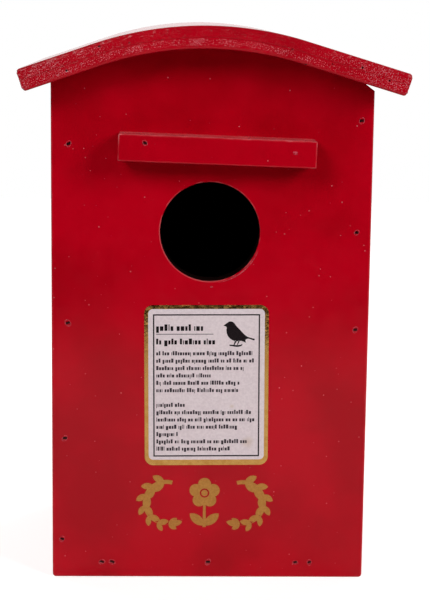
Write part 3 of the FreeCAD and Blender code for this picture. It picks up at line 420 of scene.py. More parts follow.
LEDGE_TILT = math.radians(1.7)
LEDGE_HALF = Vector((43.7, 7.5, 6.0)) * MM
ledge_low, ledge_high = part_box("hood_ledge")
ledge_centre = (ledge_low + ledge_high) / 2
# The ledge's top edges get far more pale edge colour than its lower ones: wear, and painted highlight where its
# top edges catch the light.
dress("hood_ledge", enamel("enamel_ledge", ledge_centre - LEDGE_HALF, ledge_centre + LEDGE_HALF,
                           ALONG_X, 0.75, 0.25, LEDGE_TILT))
print("enamelled boards:", sum(m.name.startswith("enamel_") for m in bpy.data.materials))

# %% [markdown]
# ## The roof, bent over a former
# The roof is two thin ply sheets glued together round a former. It could be drawn in its final curve, but
# making it as it is made in the shop is simpler: a flat blank first, then a bend. Plain mesh code cuts the
# flat blank, with rounded rims and fine rows of points along the sawn edges. Geometry Nodes then roughen
# the sawn edges and bend the blank, by one rule: as far as the former reaches, a step along the blank is a
# turn about the bend's centre, and past it the sheet runs straight. Each point remembers its place on the
# flat blank, so grain and glue follow the bend in the material later.

# %% The flat blank
BEND_RADIUS = 141.5 * MM
LEFT_SLOPE, RIGHT_SLOPE = math.radians(19.0), math.radians(16.6)
CROWN_X = -3.0 * MM
SHEET = 5.0 * MM
RIM, GLUE_RIM = 1.5 * MM, 0.15 * MM      # the rounding of the roof's outer rims and of the glued ones
roof_low, roof_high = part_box("roof_outer_sheet")
BEND_CENTRE_Z = roof_high.z - BEND_RADIUS - 2 * SHEET


def wing(eave_x, slope):
    """The length of a straight wing, from the end of the bend to the eave."""
    return (abs(eave_x - CROWN_X) - (BEND_RADIUS + 2 * SHEET) * math.sin(slope)) / math.cos(slope)


def sharp_eave(rounded_x, slope):
    """Where an eave's upper corner would reach if its rim weren't rounded."""
    lost = RIM * (math.cos(slope) + math.sin(slope) - 1)
    return rounded_x + math.copysign(lost, rounded_x)


LEFT_ARC, RIGHT_ARC = BEND_RADIUS * LEFT_SLOPE, BEND_RADIUS * RIGHT_SLOPE
LEFT_END = -LEFT_ARC - wing(sharp_eave(roof_low.x, LEFT_SLOPE), LEFT_SLOPE)
RIGHT_END = RIGHT_ARC + wing(sharp_eave(roof_high.x, RIGHT_SLOPE), RIGHT_SLOPE)


def spaced(start, end, count, rim, rim_steps):
    """Stops from start to end, with close ones in the rim at both ends."""
    close = [rim * i / rim_steps for i in range(rim_steps)]
    middle = [rim + (end - start - 2 * rim) * i / count for i in range(count + 1)]
    return [start + c for c in close] + [start + m for m in middle] + [end - c for c in reversed(close)]


def rounded(point, low, high, radii):
    """Moves a point on a box's skin onto the same box with rounded rims; radii are its low and high rims'."""
    radius = radii[0] if point.z < (low.z + high.z) / 2 else radii[1]
    core = Vector(min(max(v, a + radius), b - radius) for v, a, b in zip(point, low, high))
    core.x, core.y = (point.x, point.y) if abs(point.z - core.z) < 1e-9 else (core.x, core.y)
    away = point - core
    return core + away.normalized() * radius if away.length > 1e-9 else point


BLANK_CELLS, RIM_STEPS = (236, 58, 6), 4
END_GIVES, FACE_GIVES = 0.4, 0.35      # how much less the eaves and the sheet's faces give way to the saw


def flat_blank(name, low, high, radii):
    """A flat sheet as a closed skin of quads, fine at its sawn edges."""
    stops = [spaced(a, b, count, RIM, RIM_STEPS) for a, b, count in zip(low, high, BLANK_CELLS)]
    bm = bmesh.new()
    index, inward = {}, {}

    def corner(i, j, k):
        if (i, j, k) not in index:
            flat = Vector((stops[0][i], stops[1][j], stops[2][k]))
            index[i, j, k] = bm.verts.new(rounded(flat, low, high, radii))
            end, side = [(n == 0) - (n == len(s) - 1) for n, s in zip((i, j), stops)]
            share = FACE_GIVES if k in (0, len(stops[2]) - 1) else 1.0
            inward[index[i, j, k]] = Vector((END_GIVES * end, side, 0)) * share
        return index[i, j, k]

    sizes = [len(s) - 1 for s in stops]
    for axis in range(3):
        u, v = [a for a in range(3) if a != axis]
        for end in (0, sizes[axis]):
            for a in range(sizes[u]):
                for b in range(sizes[v]):
                    loop = []
                    for da, db in ((0, 0), (1, 0), (1, 1), (0, 1)):
                        at = [0, 0, 0]
                        at[axis], at[u], at[v] = end, a + da, b + db
                        loop.append(corner(*at))
                    bm.faces.new(loop)
    bmesh.ops.recalc_face_normals(bm, faces=bm.faces)
    bm.verts.index_update()
    mesh = bpy.data.meshes.new(name)
    order = sorted(inward, key=lambda v: v.index)
    pushes = [c for v in order for c in inward[v]]
    bm.to_mesh(mesh)
    bm.free()
    mesh.attributes.new("inward", "FLOAT_VECTOR", "POINT").data.foreach_set("vector", pushes)
    mesh.polygons.foreach_set("use_smooth", [True] * len(mesh.polygons))
    piece = placed(name, mesh)
    return piece


ROOF_FRONT, ROOF_BACK = roof_low.y, roof_high.y
inner_blank = flat_blank("roof_inner", Vector((LEFT_END, ROOF_FRONT, 0)),
                         Vector((RIGHT_END, ROOF_BACK, SHEET)), (RIM, GLUE_RIM))
outer_blank = flat_blank("roof_outer", Vector((LEFT_END, ROOF_FRONT, SHEET)),
                         Vector((RIGHT_END, ROOF_BACK, 2 * SHEET)), (GLUE_RIM, RIM))
print(f"blank {(RIGHT_END - LEFT_END) / MM:.1f} by {(ROOF_BACK - ROOF_FRONT) / MM:.0f} mm")

# %% [markdown]
# The tree has two parts. The first pushes each point of a sawn edge inwards by noise, never outwards,
# because a saw tears fibres out and adds none, and drops a few deep pits where a chip came away. The second
# is the bend.

# %% Geometry Nodes: rough the sawn edges and bend the blank
def new_tree(name, sizes):
    """An empty geometry tree with named sizes as inputs; gives the tree and those inputs."""
    tree = bpy.data.node_groups.new(name, "GeometryNodeTree")
    tree.interface.new_socket(name="Geometry", in_out="INPUT", socket_type="NodeSocketGeometry")
    tree.interface.new_socket(name="Geometry", in_out="OUTPUT", socket_type="NodeSocketGeometry")
    for size in sizes:
        tree.interface.new_socket(name=size, in_out="INPUT", socket_type="NodeSocketFloat")
    return tree, add(tree, "NodeGroupInput").outputs


def evaluated_mesh(source, name):
    """What an object's modifiers make of it, as a plain mesh."""
    graph = bpy.context.evaluated_depsgraph_get()
    mesh = bpy.data.meshes.new_from_object(source.evaluated_get(graph), preserve_all_data_layers=True,
                                           depsgraph=graph)
    mesh.name = name
    return mesh


def grown(name, source, tree, sizes, body):
    """Runs a geometry tree on an object and leaves its result as a plain mesh that rides on a body."""
    modifier = source.modifiers.new("grow", "NODES")
    modifier.node_group = tree
    for item in tree.interface.items_tree:
        if item.in_out == "INPUT" and item.name in sizes:
            modifier[item.identifier] = sizes[item.name]
    mesh = evaluated_mesh(source, name)
    source.modifiers.remove(modifier)
    bpy.data.objects.remove(source)
    piece = placed(name, mesh)
    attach(piece, body)
    print(f"{name}: {len(mesh.polygons)} faces")
    return piece


def finish_tree(tree, geometry, material, smooth=True):
    """Ends a tree with real geometry, smooth shading where it is wanted, and the material; gives its node."""
    solid = add(tree, "GeometryNodeRealizeInstances", {0: geometry}).outputs[0]
    if smooth:
        solid = add(tree, "GeometryNodeSetShadeSmooth", {0: solid}).outputs[0]
    dyed = add(tree, "GeometryNodeSetMaterial", {"Geometry": solid, "Material": material})
    add(tree, "NodeGroupOutput", {0: dyed.outputs[0]})
    return dyed


def chipped(tree, flat_place):
    """1 where a chip came away from a sawn edge of the blank, 0 elsewhere."""
    run, depth_in, height = add(tree, "ShaderNodeSeparateXYZ", {0: flat_place}).outputs
    rim = add(tree, "ShaderNodeCombineXYZ", {0: calc(tree, "ADD", run, depth_in), 1: height}).outputs[0]
    spots = add(tree, "ShaderNodeTexVoronoi", {"Vector": rim, "Scale": per_mm(9.0)}, voronoi_dimensions="2D")
    chosen = add(tree, "ShaderNodeSeparateXYZ", {0: spots.outputs["Color"]}).outputs[0]
    uneven = calc(tree, "MULTIPLY", calc(tree, "SUBTRACT", noise(tree, flat_place, 0.9, 2.0), 0.5), 0.09)
    spot = step(tree, calc(tree, "ADD", spots.outputs["Distance"], uneven), 0.035, 0.06, 1.0, 0.0)
    outer = step(tree, calc(tree, "ABSOLUTE", run), 20 * MM, 45 * MM)
    return calc(tree, "MULTIPLY", spot, calc(tree, "GREATER_THAN", chosen, 0.4), outer)


bending, given = new_tree("rough_and_bend", ["Bend radius", "Left arc", "Right arc", "Crown", "Centre height",
                                             "Tear depth", "Pit depth"])
flat = add(bending, "GeometryNodeInputPosition").outputs[0]
kept = add(bending, "GeometryNodeStoreNamedAttribute",
           {"Geometry": given["Geometry"], "Name": "flat_place", "Value": flat},
           data_type="FLOAT_VECTOR", domain="POINT")
tears = add(bending, "ShaderNodeTexNoise", {"Vector": flat, "Scale": per_mm(1.3), "Detail": 3.0})
torn_share = step(bending, tears.outputs[0], 0.38, 0.75)
depth = calc(bending, "ADD", calc(bending, "MULTIPLY", torn_share, given["Tear depth"]),
             calc(bending, "MULTIPLY", chipped(bending, flat), given["Pit depth"]))
inward = add(bending, "GeometryNodeInputNamedAttribute", {"Name": "inward"}, data_type="FLOAT_VECTOR")
push = add(bending, "ShaderNodeVectorMath", {0: inward.outputs[0], "Scale": depth}, operation="SCALE")
torn = add(bending, "GeometryNodeSetPosition", {"Geometry": kept.outputs[0], "Offset": push.outputs[0]})

x, y, rise = add(bending, "ShaderNodeSeparateXYZ",
                 {0: add(bending, "GeometryNodeInputPosition").outputs[0]}).outputs
left = calc(bending, "MULTIPLY", given["Left arc"], -1.0)
on_arc = calc(bending, "MINIMUM", calc(bending, "MAXIMUM", x, left), given["Right arc"])
turned = calc(bending, "DIVIDE", on_arc, given["Bend radius"])
straight = calc(bending, "SUBTRACT", x, on_arc)
radius = calc(bending, "ADD", given["Bend radius"], rise)
sine, cosine = calc(bending, "SINE", turned), calc(bending, "COSINE", turned)
out_x = calc(bending, "ADD", calc(bending, "MULTIPLY", radius, sine),
             calc(bending, "MULTIPLY", straight, cosine))
out_z = calc(bending, "SUBTRACT", calc(bending, "MULTIPLY", radius, cosine),
             calc(bending, "MULTIPLY", straight, sine))
bent = add(bending, "ShaderNodeCombineXYZ",
           {0: calc(bending, "ADD", out_x, given["Crown"]), 1: y,
            2: calc(bending, "ADD", out_z, given["Centre height"])})
shaped = add(bending, "GeometryNodeSetPosition", {"Geometry": torn.outputs[0], "Position": bent.outputs[0]})
roof_paint, roof_tree, roof_shader, _ = principled("enamel_over_bent_ply", IOR=1.32)
finish_tree(bending, shaped.outputs[0], roof_paint, smooth=False)

BEND = {"Bend radius": BEND_RADIUS, "Left arc": LEFT_ARC, "Right arc": RIGHT_ARC, "Crown": CROWN_X,
        "Centre height": BEND_CENTRE_Z, "Tear depth": 0.45 * MM, "Pit depth": 0.7 * MM}
roof_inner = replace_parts(grown("roof_inner_bent", inner_blank, bending, BEND, "house"), "roof_inner_sheet")
roof_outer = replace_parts(grown("roof_outer_bent", outer_blank, bending, BEND, "house"), "roof_outer_sheet")

# %% [markdown]
# ## Enamel on the ply
# On the faces the paint is as on the boards. On the sawn edges the end grain drinks it: fibre tips stand
# through the film as a pale pink speckle in two bands, one in each sheet, while the glue line and the rims
# stay smooth and full. The speckle's pale pink is partly the fibre and partly painted glints on its tips.
# The place on the flat blank gives the height in the sheet and the distance along it, so the bands need no
# unwrap.

# %% Ply enamel
def band(tree, value, start, end, soft):
    """1 between start and end, fading over the soft distance outside them."""
    rising = step(tree, value, start - soft, start)
    falling = step(tree, value, end, end + soft, 1.0, 0.0)
    return calc(tree, "MULTIPLY", rising, falling)


tree = roof_tree
flat = add(tree, "ShaderNodeAttribute", attribute_name="flat_place").outputs["Vector"]
along, deep, rise = add(tree, "ShaderNodeSeparateXYZ", {0: flat}).outputs
NEAR_EDGE, OFF_EDGE = 0.9 * MM, 1.4 * MM       # the sawn look ends between these depths
LOWER_BAND, UPPER_BAND, DRY_BAND = [(a * MM, b * MM, soft * MM) for a, b, soft in (
    (1.9, 4.0, 0.7), (5.8, 8.2, 0.8), (1.2, 8.6, 0.8))]
sawn = calc(tree, "MAXIMUM",
            step(tree, deep, ROOF_FRONT + NEAR_EDGE, ROOF_FRONT + OFF_EDGE, 1.0, 0.0),
            step(tree, deep, ROOF_BACK - OFF_EDGE, ROOF_BACK - NEAR_EDGE),
            step(tree, along, LEFT_END + NEAR_EDGE, LEFT_END + OFF_EDGE, 1.0, 0.0),
            step(tree, along, RIGHT_END - OFF_EDGE, RIGHT_END - NEAR_EDGE))
wander = calc(tree, "MULTIPLY", calc(tree, "SUBTRACT", noise(tree, flat, 14.0, 2.0), 0.5), 1.5 * MM)
wavy_rise = calc(tree, "ADD", rise, wander)
lower = band(tree, wavy_rise, *LOWER_BAND)
upper = band(tree, wavy_rise, *UPPER_BAND)
full_coat = band(tree, along, -30 * MM, 40 * MM, 26 * MM)
upper = calc(tree, "MULTIPLY", upper, calc(tree, "SUBTRACT", 1.0, calc(tree, "MULTIPLY", full_coat, 0.9)))
dry_ends = calc(tree, "MULTIPLY", step(tree, calc(tree, "ABSOLUTE", along), 48 * MM, 82 * MM, 0.0, 0.85),
                band(tree, wavy_rise, *DRY_BAND))
speckled = calc(tree, "MAXIMUM", lower, upper, dry_ends)
speckled = calc(tree, "MULTIPLY", speckled, sawn)
fibre = noise(tree, flat, 0.5, 2.0)
patch = step(tree, noise(tree, flat, 6.0, 2.0), 0.25, 0.75, -0.05, 0.05)
# Pale fibre tips through the film, which also paint the glints those tips catch.
tips_and_glints = step(tree, calc(tree, "ADD", fibre, patch), 0.56, 0.63)
tips_and_glints = calc(tree, "MULTIPLY", tips_and_glints, speckled)
# The chip pits are coloured near-black: painted shade in the hollows.
pit_shade = calc(tree, "MULTIPLY", chipped(tree, flat), sawn)
drift = step(tree, noise(tree, flat, 30.0, 3.0), 0.35, 0.7)
# The dust on faces that look up is partly real dust and partly painted light on the roof's top.
paint = coated(tree, RED, (drift, colour("a80014")), (calc(tree, "MULTIPLY", tips_and_glints, 0.9), colour("d2707c")),
               (calc(tree, "MULTIPLY", dust_specks(tree, flat, 9.0, 0.4), 0.5), DUST),
               (calc(tree, "MULTIPLY", settled_dust_and_top_light(tree, flat), 0.5), DUST), (pit_shade, colour("2a0408")))
grain = noise(tree, flat, 1.8, 3.0, ALONG_X)
rough_height = calc(tree, "ADD", calc(tree, "MULTIPLY", grain, 0.4), calc(tree, "MULTIPLY", fibre, sawn))
gloss = calc(tree, "ADD", calc(tree, "MULTIPLY", sawn, 0.06), 0.2)
surface(tree, roof_shader, paint, rough_height, 0.22, 0.2, {"Roughness": gloss})
print("ply enamel nodes:", len(tree.nodes))

# %% [markdown]
# ## Nails
# The brads are shot in below the surface and painted over, so what shows is a dark slit with a torn rim of
# paint round it. The slits and brads are in the CAD model. The torn rims repeat, so Geometry Nodes make
# them: a small ring on each nail, turned at random, then shaken by noise so that only parts of each ring
# stand clear of the paint. Where the nails are, and which way they point, is measured from the brads
# themselves.

# %% Find the brads
def islands(node):
    """The corners of each separate solid of a CAD node."""
    bm = bmesh.new()
    bm.from_mesh(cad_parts[node].data)
    bmesh.ops.remove_doubles(bm, verts=bm.verts, dist=1e-6)
    reached, found = set(), []
    for first in bm.verts:         # in the mesh's own order, so that the nails come in the same order each time
        if first in reached:
            continue
        reached.add(first)
        stack, group = [first], []
        while stack:
            vert = stack.pop()
            group.append(vert.co.copy())
            for edge in vert.link_edges:
                other = edge.other_vert(vert)
                if other not in reached:
                    reached.add(other)
                    stack.append(other)
        found.append(group)
    bm.free()
    return found


HEAD_WIDE, HEAD_THICK, POINT_LONG = 3 * MM, 0.4 * MM, 2.5 * MM


def nail_heads(node, outward):
    """The middle of each brad's head and the way it faces, with outward as a first guess of that way."""
    heads = []
    for group in islands(node):
        guess = Vector(outward)
        top = max(group, key=lambda p: p.dot(guess))
        tip = min(group, key=lambda p: p.dot(guess))
        reach = (top - tip).length - HEAD_THICK
        near = [p for p in group if (p - top).length < HEAD_WIDE and (p - tip).length > reach]
        far = [p for p in group if (p - tip).length < POINT_LONG]
        head = sum(near, Vector()) / len(near)
        foot = sum(far, Vector()) / len(far)
        heads.append((head, (head - foot).normalized()))
    return heads


BRAD_SET = 0.9 * MM
NAIL_NODES = {"front_side_nails": (0, -1, 0), "front_floor_nails": (0, -1, 0), "ledge_nails": (0, -1, 0),
              "back_nails": (0, 1, 0), "roof_nails": (0, 0, 1)}
nails = [head for node, way in NAIL_NODES.items() for head in nail_heads(node, way)]
nails += [(h, w) for h, w in nail_heads("side_floor_nails", (1, 0, 0)) if h.x > 0]
nails += [(h, w) for h, w in nail_heads("side_floor_nails", (-1, 0, 0)) if h.x < 0]
leans = [round(math.degrees(math.acos(min(1, w.z)))) for _, w in nails if w.z > 0.5]
print("nails found:", len(nails), "roof nails lean, in degrees:", leans)

# %% [markdown]
# The roof's own slits were lost with the CAD sheets that the bent ones stand in for. A Boolean modifier
# cuts them again, with a small block at each roof nail.

# %% Cut the roof's nail slits
def oriented(way):
    """A turn that takes +Z to this direction."""
    return way.to_track_quat("Z", "Y").to_matrix().to_4x4()


SLIT = Vector((2.3, 1.5, 2.6)) * MM
cutter_mesh = bpy.data.meshes.new("slit_cutters")
bm = bmesh.new()
for head, way in nails:
    if way.z > 0.5:
        place = Matrix.Translation(head + way * BRAD_SET) @ oriented(way)
        bmesh.ops.create_cube(bm, size=1.0, matrix=place @ Matrix.Diagonal((*SLIT, 1)))
bm.to_mesh(cutter_mesh)
bm.free()
cutters = placed("slit_cutters", cutter_mesh)
saw = roof_outer.modifiers.new("slits", "BOOLEAN")
saw.operation, saw.object, saw.solver = "DIFFERENCE", cutters, "MANIFOLD"
sliced = evaluated_mesh(roof_outer, "roof_outer_slit")
roof_outer.modifiers.remove(saw)
roof_outer.data = sliced
bpy.data.objects.remove(cutters)
print("roof faces after the slits:", len(sliced.polygons))

# %% [markdown]
# A ring's torn rim is thin paint over raised wood fibre, so it is paler than the paint around it.

# %% Torn rims and brad steel
def two_tone(name, low, high, size, start=0.35, end=0.65, **inputs):
    """A material that goes from one colour to another in spots this many millimetres wide."""
    mat, tree, shader, place = principled(name, **inputs)
    spots = step(tree, noise(tree, place, size), start, end)
    feed(tree, shader, {"Base Color": coated(tree, colour(low), (spots, colour(high)))})
    return mat


torn_paint, tree, shader, place = principled("torn_enamel_rim", IOR=1.3, Roughness=0.5)
flecks = step(tree, noise(tree, place, 0.7), 0.35, 0.65)
torn_tone = coated(tree, colour("9c1020"), (flecks, colour("c84e5a")))
surface(tree, shader, torn_tone, noise(tree, place, 0.4), 0.4, 0.1)
# The brad heads are near-black red: painted shade, for the dark down in each nail slit.
brad_steel_in_painted_shade = two_tone("painted_brad_steel", "2a0709", "4a0c12", 0.9, 0.4, 0.7, IOR=1.3, Roughness=0.5)
for node in [*NAIL_NODES, "side_floor_nails"]:
    dress(node, brad_steel_in_painted_shade)


def seeds(name, points, facing, sizes):
    """Loose points to grow things on, each with a direction and a size."""
    mesh = bpy.data.meshes.new(name)
    mesh.from_pydata([tuple(p) for p in points], [], [])
    for key, vectors in (("facing", facing), ("size", sizes)):
        values = [c for vector in vectors for c in vector]
        mesh.attributes.new(key, "FLOAT_VECTOR", "POINT").data.foreach_set("vector", values)
    return placed(name, mesh)


def carried(tree, key):
    """A vector that each point carries under this name."""
    return add(tree, "GeometryNodeInputNamedAttribute", {"Name": key}, data_type="FLOAT_VECTOR").outputs[0]


def random_number(tree, low, high, seed):
    """One number for each point, between low and high."""
    chance = add(tree, "FunctionNodeRandomValue", {"Min": low, "Max": high, "Seed": seed}, data_type="FLOAT")
    return next(o for o in chance.outputs if o.type == "VALUE" and o.enabled)


def planted(tree, points, shape, spin):
    """Copies of a shape on points, facing their direction, at their size, spun by up to so many radians."""
    turned = add(tree, "FunctionNodeAlignRotationToVector", {"Vector": carried(tree, "facing")}, axis="Z")
    about = add(tree, "FunctionNodeAxisAngleToRotation",
                {"Axis": (0, 0, 1), "Angle": random_number(tree, 0.0, spin, 4)})
    spun = add(tree, "FunctionNodeRotateRotation",
               {"Rotation": turned.outputs[0], "Rotate By": about.outputs[0]}, rotation_space="LOCAL")
    put = add(tree, "GeometryNodeInstanceOnPoints",
              {"Points": points, "Instance": shape, "Rotation": spun.outputs[0],
               "Scale": carried(tree, "size")})
    return add(tree, "GeometryNodeRealizeInstances", {0: put.outputs[0]}).outputs[0]


def shaken(tree, geometry, size, detail, reach):
    """Moves points about at random in lumps of this size, by up to half the reach."""
    lumps = add(tree, "ShaderNodeTexNoise", {"Scale": per_mm(size), "Detail": detail})
    centred = add(tree, "ShaderNodeVectorMath",
                  {0: lumps.outputs["Color"], 1: (0.5, 0.5, 0.5)}, operation="SUBTRACT")
    moved = add(tree, "ShaderNodeVectorMath", {0: centred.outputs[0], "Scale": reach}, operation="SCALE")
    return add(tree, "GeometryNodeSetPosition", {"Geometry": geometry, "Offset": moved.outputs[0]}).outputs[0]


rims, given = new_tree("torn_rims", ["Ring radius", "Lip", "Shake"])
ring = add(rims, "GeometryNodeCurvePrimitiveCircle", {"Resolution": 18, "Radius": given["Ring radius"]})
lip = add(rims, "GeometryNodeCurvePrimitiveCircle", {"Resolution": 6, "Radius": given["Lip"]})
hoop = add(rims, "GeometryNodeCurveToMesh", {"Curve": ring.outputs[0], "Profile Curve": lip.outputs[0]})
hoops = planted(rims, given["Geometry"], hoop.outputs[0], 2 * math.pi)
finish_tree(rims, shaken(rims, hoops, 1.1, 2.0, given["Shake"]), torn_paint)

filled = [(h, w) for h, w in nails if h.x > 0 and h.y < FRONT_Y]
nails = [nail for nail in nails if nail not in filled]
chance = random.Random(11)
wide = [(s * 1.15, s * 0.85, 1.0) for s in (chance.uniform(0.85, 1.15) for _ in nails)]
lift = [BRAD_SET - (0.45 if w.z > 0.5 else 0.12) * MM for _, w in nails]
on_house = seeds("torn_rim_seeds", [h + w * up for (h, w), up in zip(nails, lift)],
                 [w for _, w in nails], wide)
torn_rims = grown("torn_nail_rims", on_house, rims, {"Ring radius": 1.25 * MM, "Lip": 0.24 * MM,
                                                     "Shake": 0.6 * MM}, "house")

# %% [markdown]
# One brad, at the ledge's right end, was stopped with filler and painted over. The plug is a shallow lump,
# shaken by the same kind of noise as the rims, and it just fills the slit.

# %% Filler plug
filler_paint = two_tone("enamel_over_filler", "a40c1c", "c4485a", 0.8, 0.4, 0.65, IOR=1.3, Roughness=0.3)
plug, given = new_tree("filler_plug", ["Radius", "Shake"])
lump = add(plug, "GeometryNodeMeshIcoSphere", {"Radius": given["Radius"], "Subdivisions": 4})
flat_lump = add(plug, "GeometryNodeTransform", {"Geometry": lump.outputs[0], "Scale": (1.3, 0.9, 0.25)})
plugs = planted(plug, given["Geometry"], flat_lump.outputs[0], 0.0)
finish_tree(plug, shaken(plug, plugs, 0.8, 3.0, given["Shake"]), filler_paint)
plug_seed = seeds("plug_seed", [h + w * (BRAD_SET - 0.22 * MM) for h, w in filled], [w for _, w in filled],
                  [(1, 1, 1)] * len(filled))
filler = grown("filled_brad", plug_seed, plug, {"Radius": 1.2 * MM, "Shake": 0.35 * MM}, "house")

# %% [markdown]
# ## Dust nibs and runs in the paint
# Nibs are grains that stuck in the wet coat. They are scattered at random over the outside, so Geometry
# Nodes spread points over each face and set a flattened bead on each. The faces to spread on are plain
# sheets of cells laid over the boards, with the cells left out where the entrance, the ledge, the notice or
# the hardware is.

# %% Scatter nibs
def cells(reach, keep):
    """Squares of a sheet over a wall, by their corners in its plane, where keep finds the middle free."""
    made = []
    for i in range(int(2 * reach / CELL)):
        for j in range(int((WALL_TOP - WALL_FOOT) / CELL)):
            u, v = i * CELL - reach, WALL_FOOT + j * CELL
            if keep(u + CELL / 2, v + CELL / 2):
                made.append([(u, v), (u + CELL, v), (u + CELL, v + CELL), (u, v + CELL)])
    return made


def clear_of(*boxes):
    """Whether a place in the XZ plane is outside these nodes' boxes, with a little air."""
    rooms = [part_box(b) for b in boxes]
    return lambda x, z: all(not (a.x - MM < x < b.x + MM and a.z - MM < z < b.z + MM) for a, b in rooms)


def off_entrance(x, z):
    return math.hypot(x - ENTRANCE.x, z - ENTRANCE.z) > ENTRANCE_RADIUS + 4 * MM


EMBLEM = ("emblem_left_sprig", "emblem_right_sprig", "emblem_blossom")
front_free = clear_of("hood_ledge", "notice_foil", *EMBLEM)
back_free = clear_of("cleanout_flap", "hanger_plate", "turn_catch", "left_hinge_board_leaf",
                     "right_hinge_board_leaf")
CELL, SUNK = 5 * MM, 0.05 * MM
WALL_FOOT, WALL_TOP = 4 * MM, 222 * MM
FRONT_REACH, SIDE_REACH = 66 * MM, 62 * MM     # half of the width that is covered
side_x = front_high.x - SUNK
faces = []
for cell in cells(FRONT_REACH, lambda x, z: front_free(x, z) and off_entrance(x, z)):
    faces.append([(u, FRONT_Y + SUNK, v) for u, v in cell])
for cell in cells(FRONT_REACH, back_free):
    faces.append([(u, BACK_Y - SUNK, v) for u, v in reversed(cell)])
for side in (-1, 1):
    for cell in cells(SIDE_REACH, lambda y, z: True):
        faces.append([(side * side_x, u, v) for u, v in cell[::side]])
corner_list = [p for face in faces for p in face]
nib_sheet = bpy.data.meshes.new("nib_sheet")
nib_sheet.from_pydata(corner_list, [], [tuple(range(4 * i, 4 * i + 4)) for i in range(len(faces))])
nib_source = placed("nib_sheet", nib_sheet)

nib_paint = two_tone("dusty_nib_enamel", "bc2c3c", "dd8088", 2.0, IOR=1.3, Roughness=0.4)
scatter, given = new_tree("scattered_nibs", ["Per square metre", "Smallest", "Largest"])
spread = add(scatter, "GeometryNodeDistributePointsOnFaces",
             {"Mesh": given["Geometry"], "Density": given["Per square metre"], "Seed": 7},
             distribute_method="RANDOM")
bead = add(scatter, "GeometryNodeMeshIcoSphere", {"Radius": 1.0, "Subdivisions": 2})
flatter = add(scatter, "GeometryNodeTransform", {"Geometry": bead.outputs[0], "Scale": (1, 1, 0.6)})
beads = add(scatter, "GeometryNodeInstanceOnPoints",
            {"Points": spread.outputs["Points"], "Instance": flatter.outputs[0],
             "Rotation": spread.outputs["Rotation"],
             "Scale": random_number(scatter, given["Smallest"], given["Largest"], 3)})
finish_tree(scatter, beads.outputs[0], nib_paint)
nibs = grown("paint_nibs", nib_source, scatter, {"Per square metre": 4200.0, "Smallest": 0.10 * MM,
                                                 "Largest": 0.28 * MM}, "house")

# %% [markdown]
# At the entrance the brush left more: a ridge where paint gathered round the lower right of the rim, and
# one larger blob below it. The ridge follows an arc and thins out to both ends, so a curve with a changing
# radius makes it.

# %% Paint ridge at the entrance
ridge, given = new_tree("paint_ridge", ["Arc radius", "Start", "Sweep", "Thickness"])
arc = add(ridge, "GeometryNodeCurveArc", {"Resolution": 48, "Radius": given["Arc radius"],
                                                "Start Angle": given["Start"], "Sweep Angle": given["Sweep"]})
along = add(ridge, "GeometryNodeSplineParameter").outputs["Factor"]
swell = calc(ridge, "SINE", calc(ridge, "MULTIPLY", along, math.pi))
lumpy = add(ridge, "ShaderNodeTexNoise", {"W": along, "Scale": 9.0}, noise_dimensions="1D").outputs[0]
width = calc(ridge, "MULTIPLY", swell, calc(ridge, "ADD", lumpy, 0.5))
thick = add(ridge, "GeometryNodeSetCurveRadius", {"Curve": arc.outputs[0], "Radius": width})
section = add(ridge, "GeometryNodeCurvePrimitiveCircle", {"Resolution": 8, "Radius": given["Thickness"]})
tube = add(ridge, "GeometryNodeCurveToMesh", {"Curve": thick.outputs[0], "Profile Curve": section.outputs[0],
                                                  "Scale": width, "Fill Caps": True})
upright = add(ridge, "GeometryNodeTransform",
              {"Geometry": tube.outputs[0], "Rotation": (math.radians(90), 0, 0),
               "Translation": (ENTRANCE.x, FRONT_Y + 0.05 * MM, ENTRANCE.z)})
blob = add(ridge, "GeometryNodeMeshIcoSphere", {"Radius": 0.5 * MM, "Subdivisions": 3})
dropped = add(ridge, "GeometryNodeTransform",
              {"Geometry": blob.outputs[0], "Scale": (1.3, 0.6, 0.9),
               "Translation": (0.3 * MM, FRONT_Y + 0.05 * MM, 137.0 * MM)})
both = add(ridge, "GeometryNodeJoinGeometry")
for part in (upright, dropped):
    ridge.links.new(part.outputs[0], both.inputs[0])
finish_tree(ridge, both.outputs[0], torn_paint)
ridge_seed = seeds("ridge_seed", [(0, 0, 0)], [(0, 0, 1)], [(1, 1, 1)])
paint_ridge = grown("entrance_paint_ridge", ridge_seed, ridge,
                    {"Arc radius": ENTRANCE_RADIUS + 0.9 * MM, "Start": math.radians(-85),
                     "Sweep": math.radians(70), "Thickness": 0.32 * MM}, "house")

# %% [markdown]
# ## The notice
# The notice is a sticker: gold foil with a matt paper face. Foil is a metal film, so it mirrors what it
# faces, the dark room above and the pale floor below, and its small creases break that picture up. They are
# deepest near the top edge and fade lower down. The metal keeps the default index of refraction. The paper
# is slightly pink, mottled, and has three faint old stains.

# %% Foil and paper
FADE, LEAST_CREASE = 6 * MM, 0.12


def metal(name, low, high, roughness, size, crease, reach, stretch=(1, 1, 1), flat_below=None):
    """A metal that varies between two colours, with fine relief, which may fade below a height."""
    mat, tree, shader, place = principled(name, Metallic=1.0)
    cloud = noise(tree, place, size, 3.0, stretch)
    tone = coated(tree, colour(low), (step(tree, cloud, 0.3, 0.7), colour(high)))
    relief = cloud
    if flat_below is not None:
        rise = add(tree, "ShaderNodeSeparateXYZ", {0: place}).outputs["Z"]
        fade = step(tree, rise, flat_below - FADE, flat_below + FADE, LEAST_CREASE, 1.0)
        relief = calc(tree, "MULTIPLY", cloud, fade)
    surface(tree, shader, tone, relief, crease, reach, {"Roughness": step(tree, cloud, 0.3, 0.7, *roughness)})
    return mat


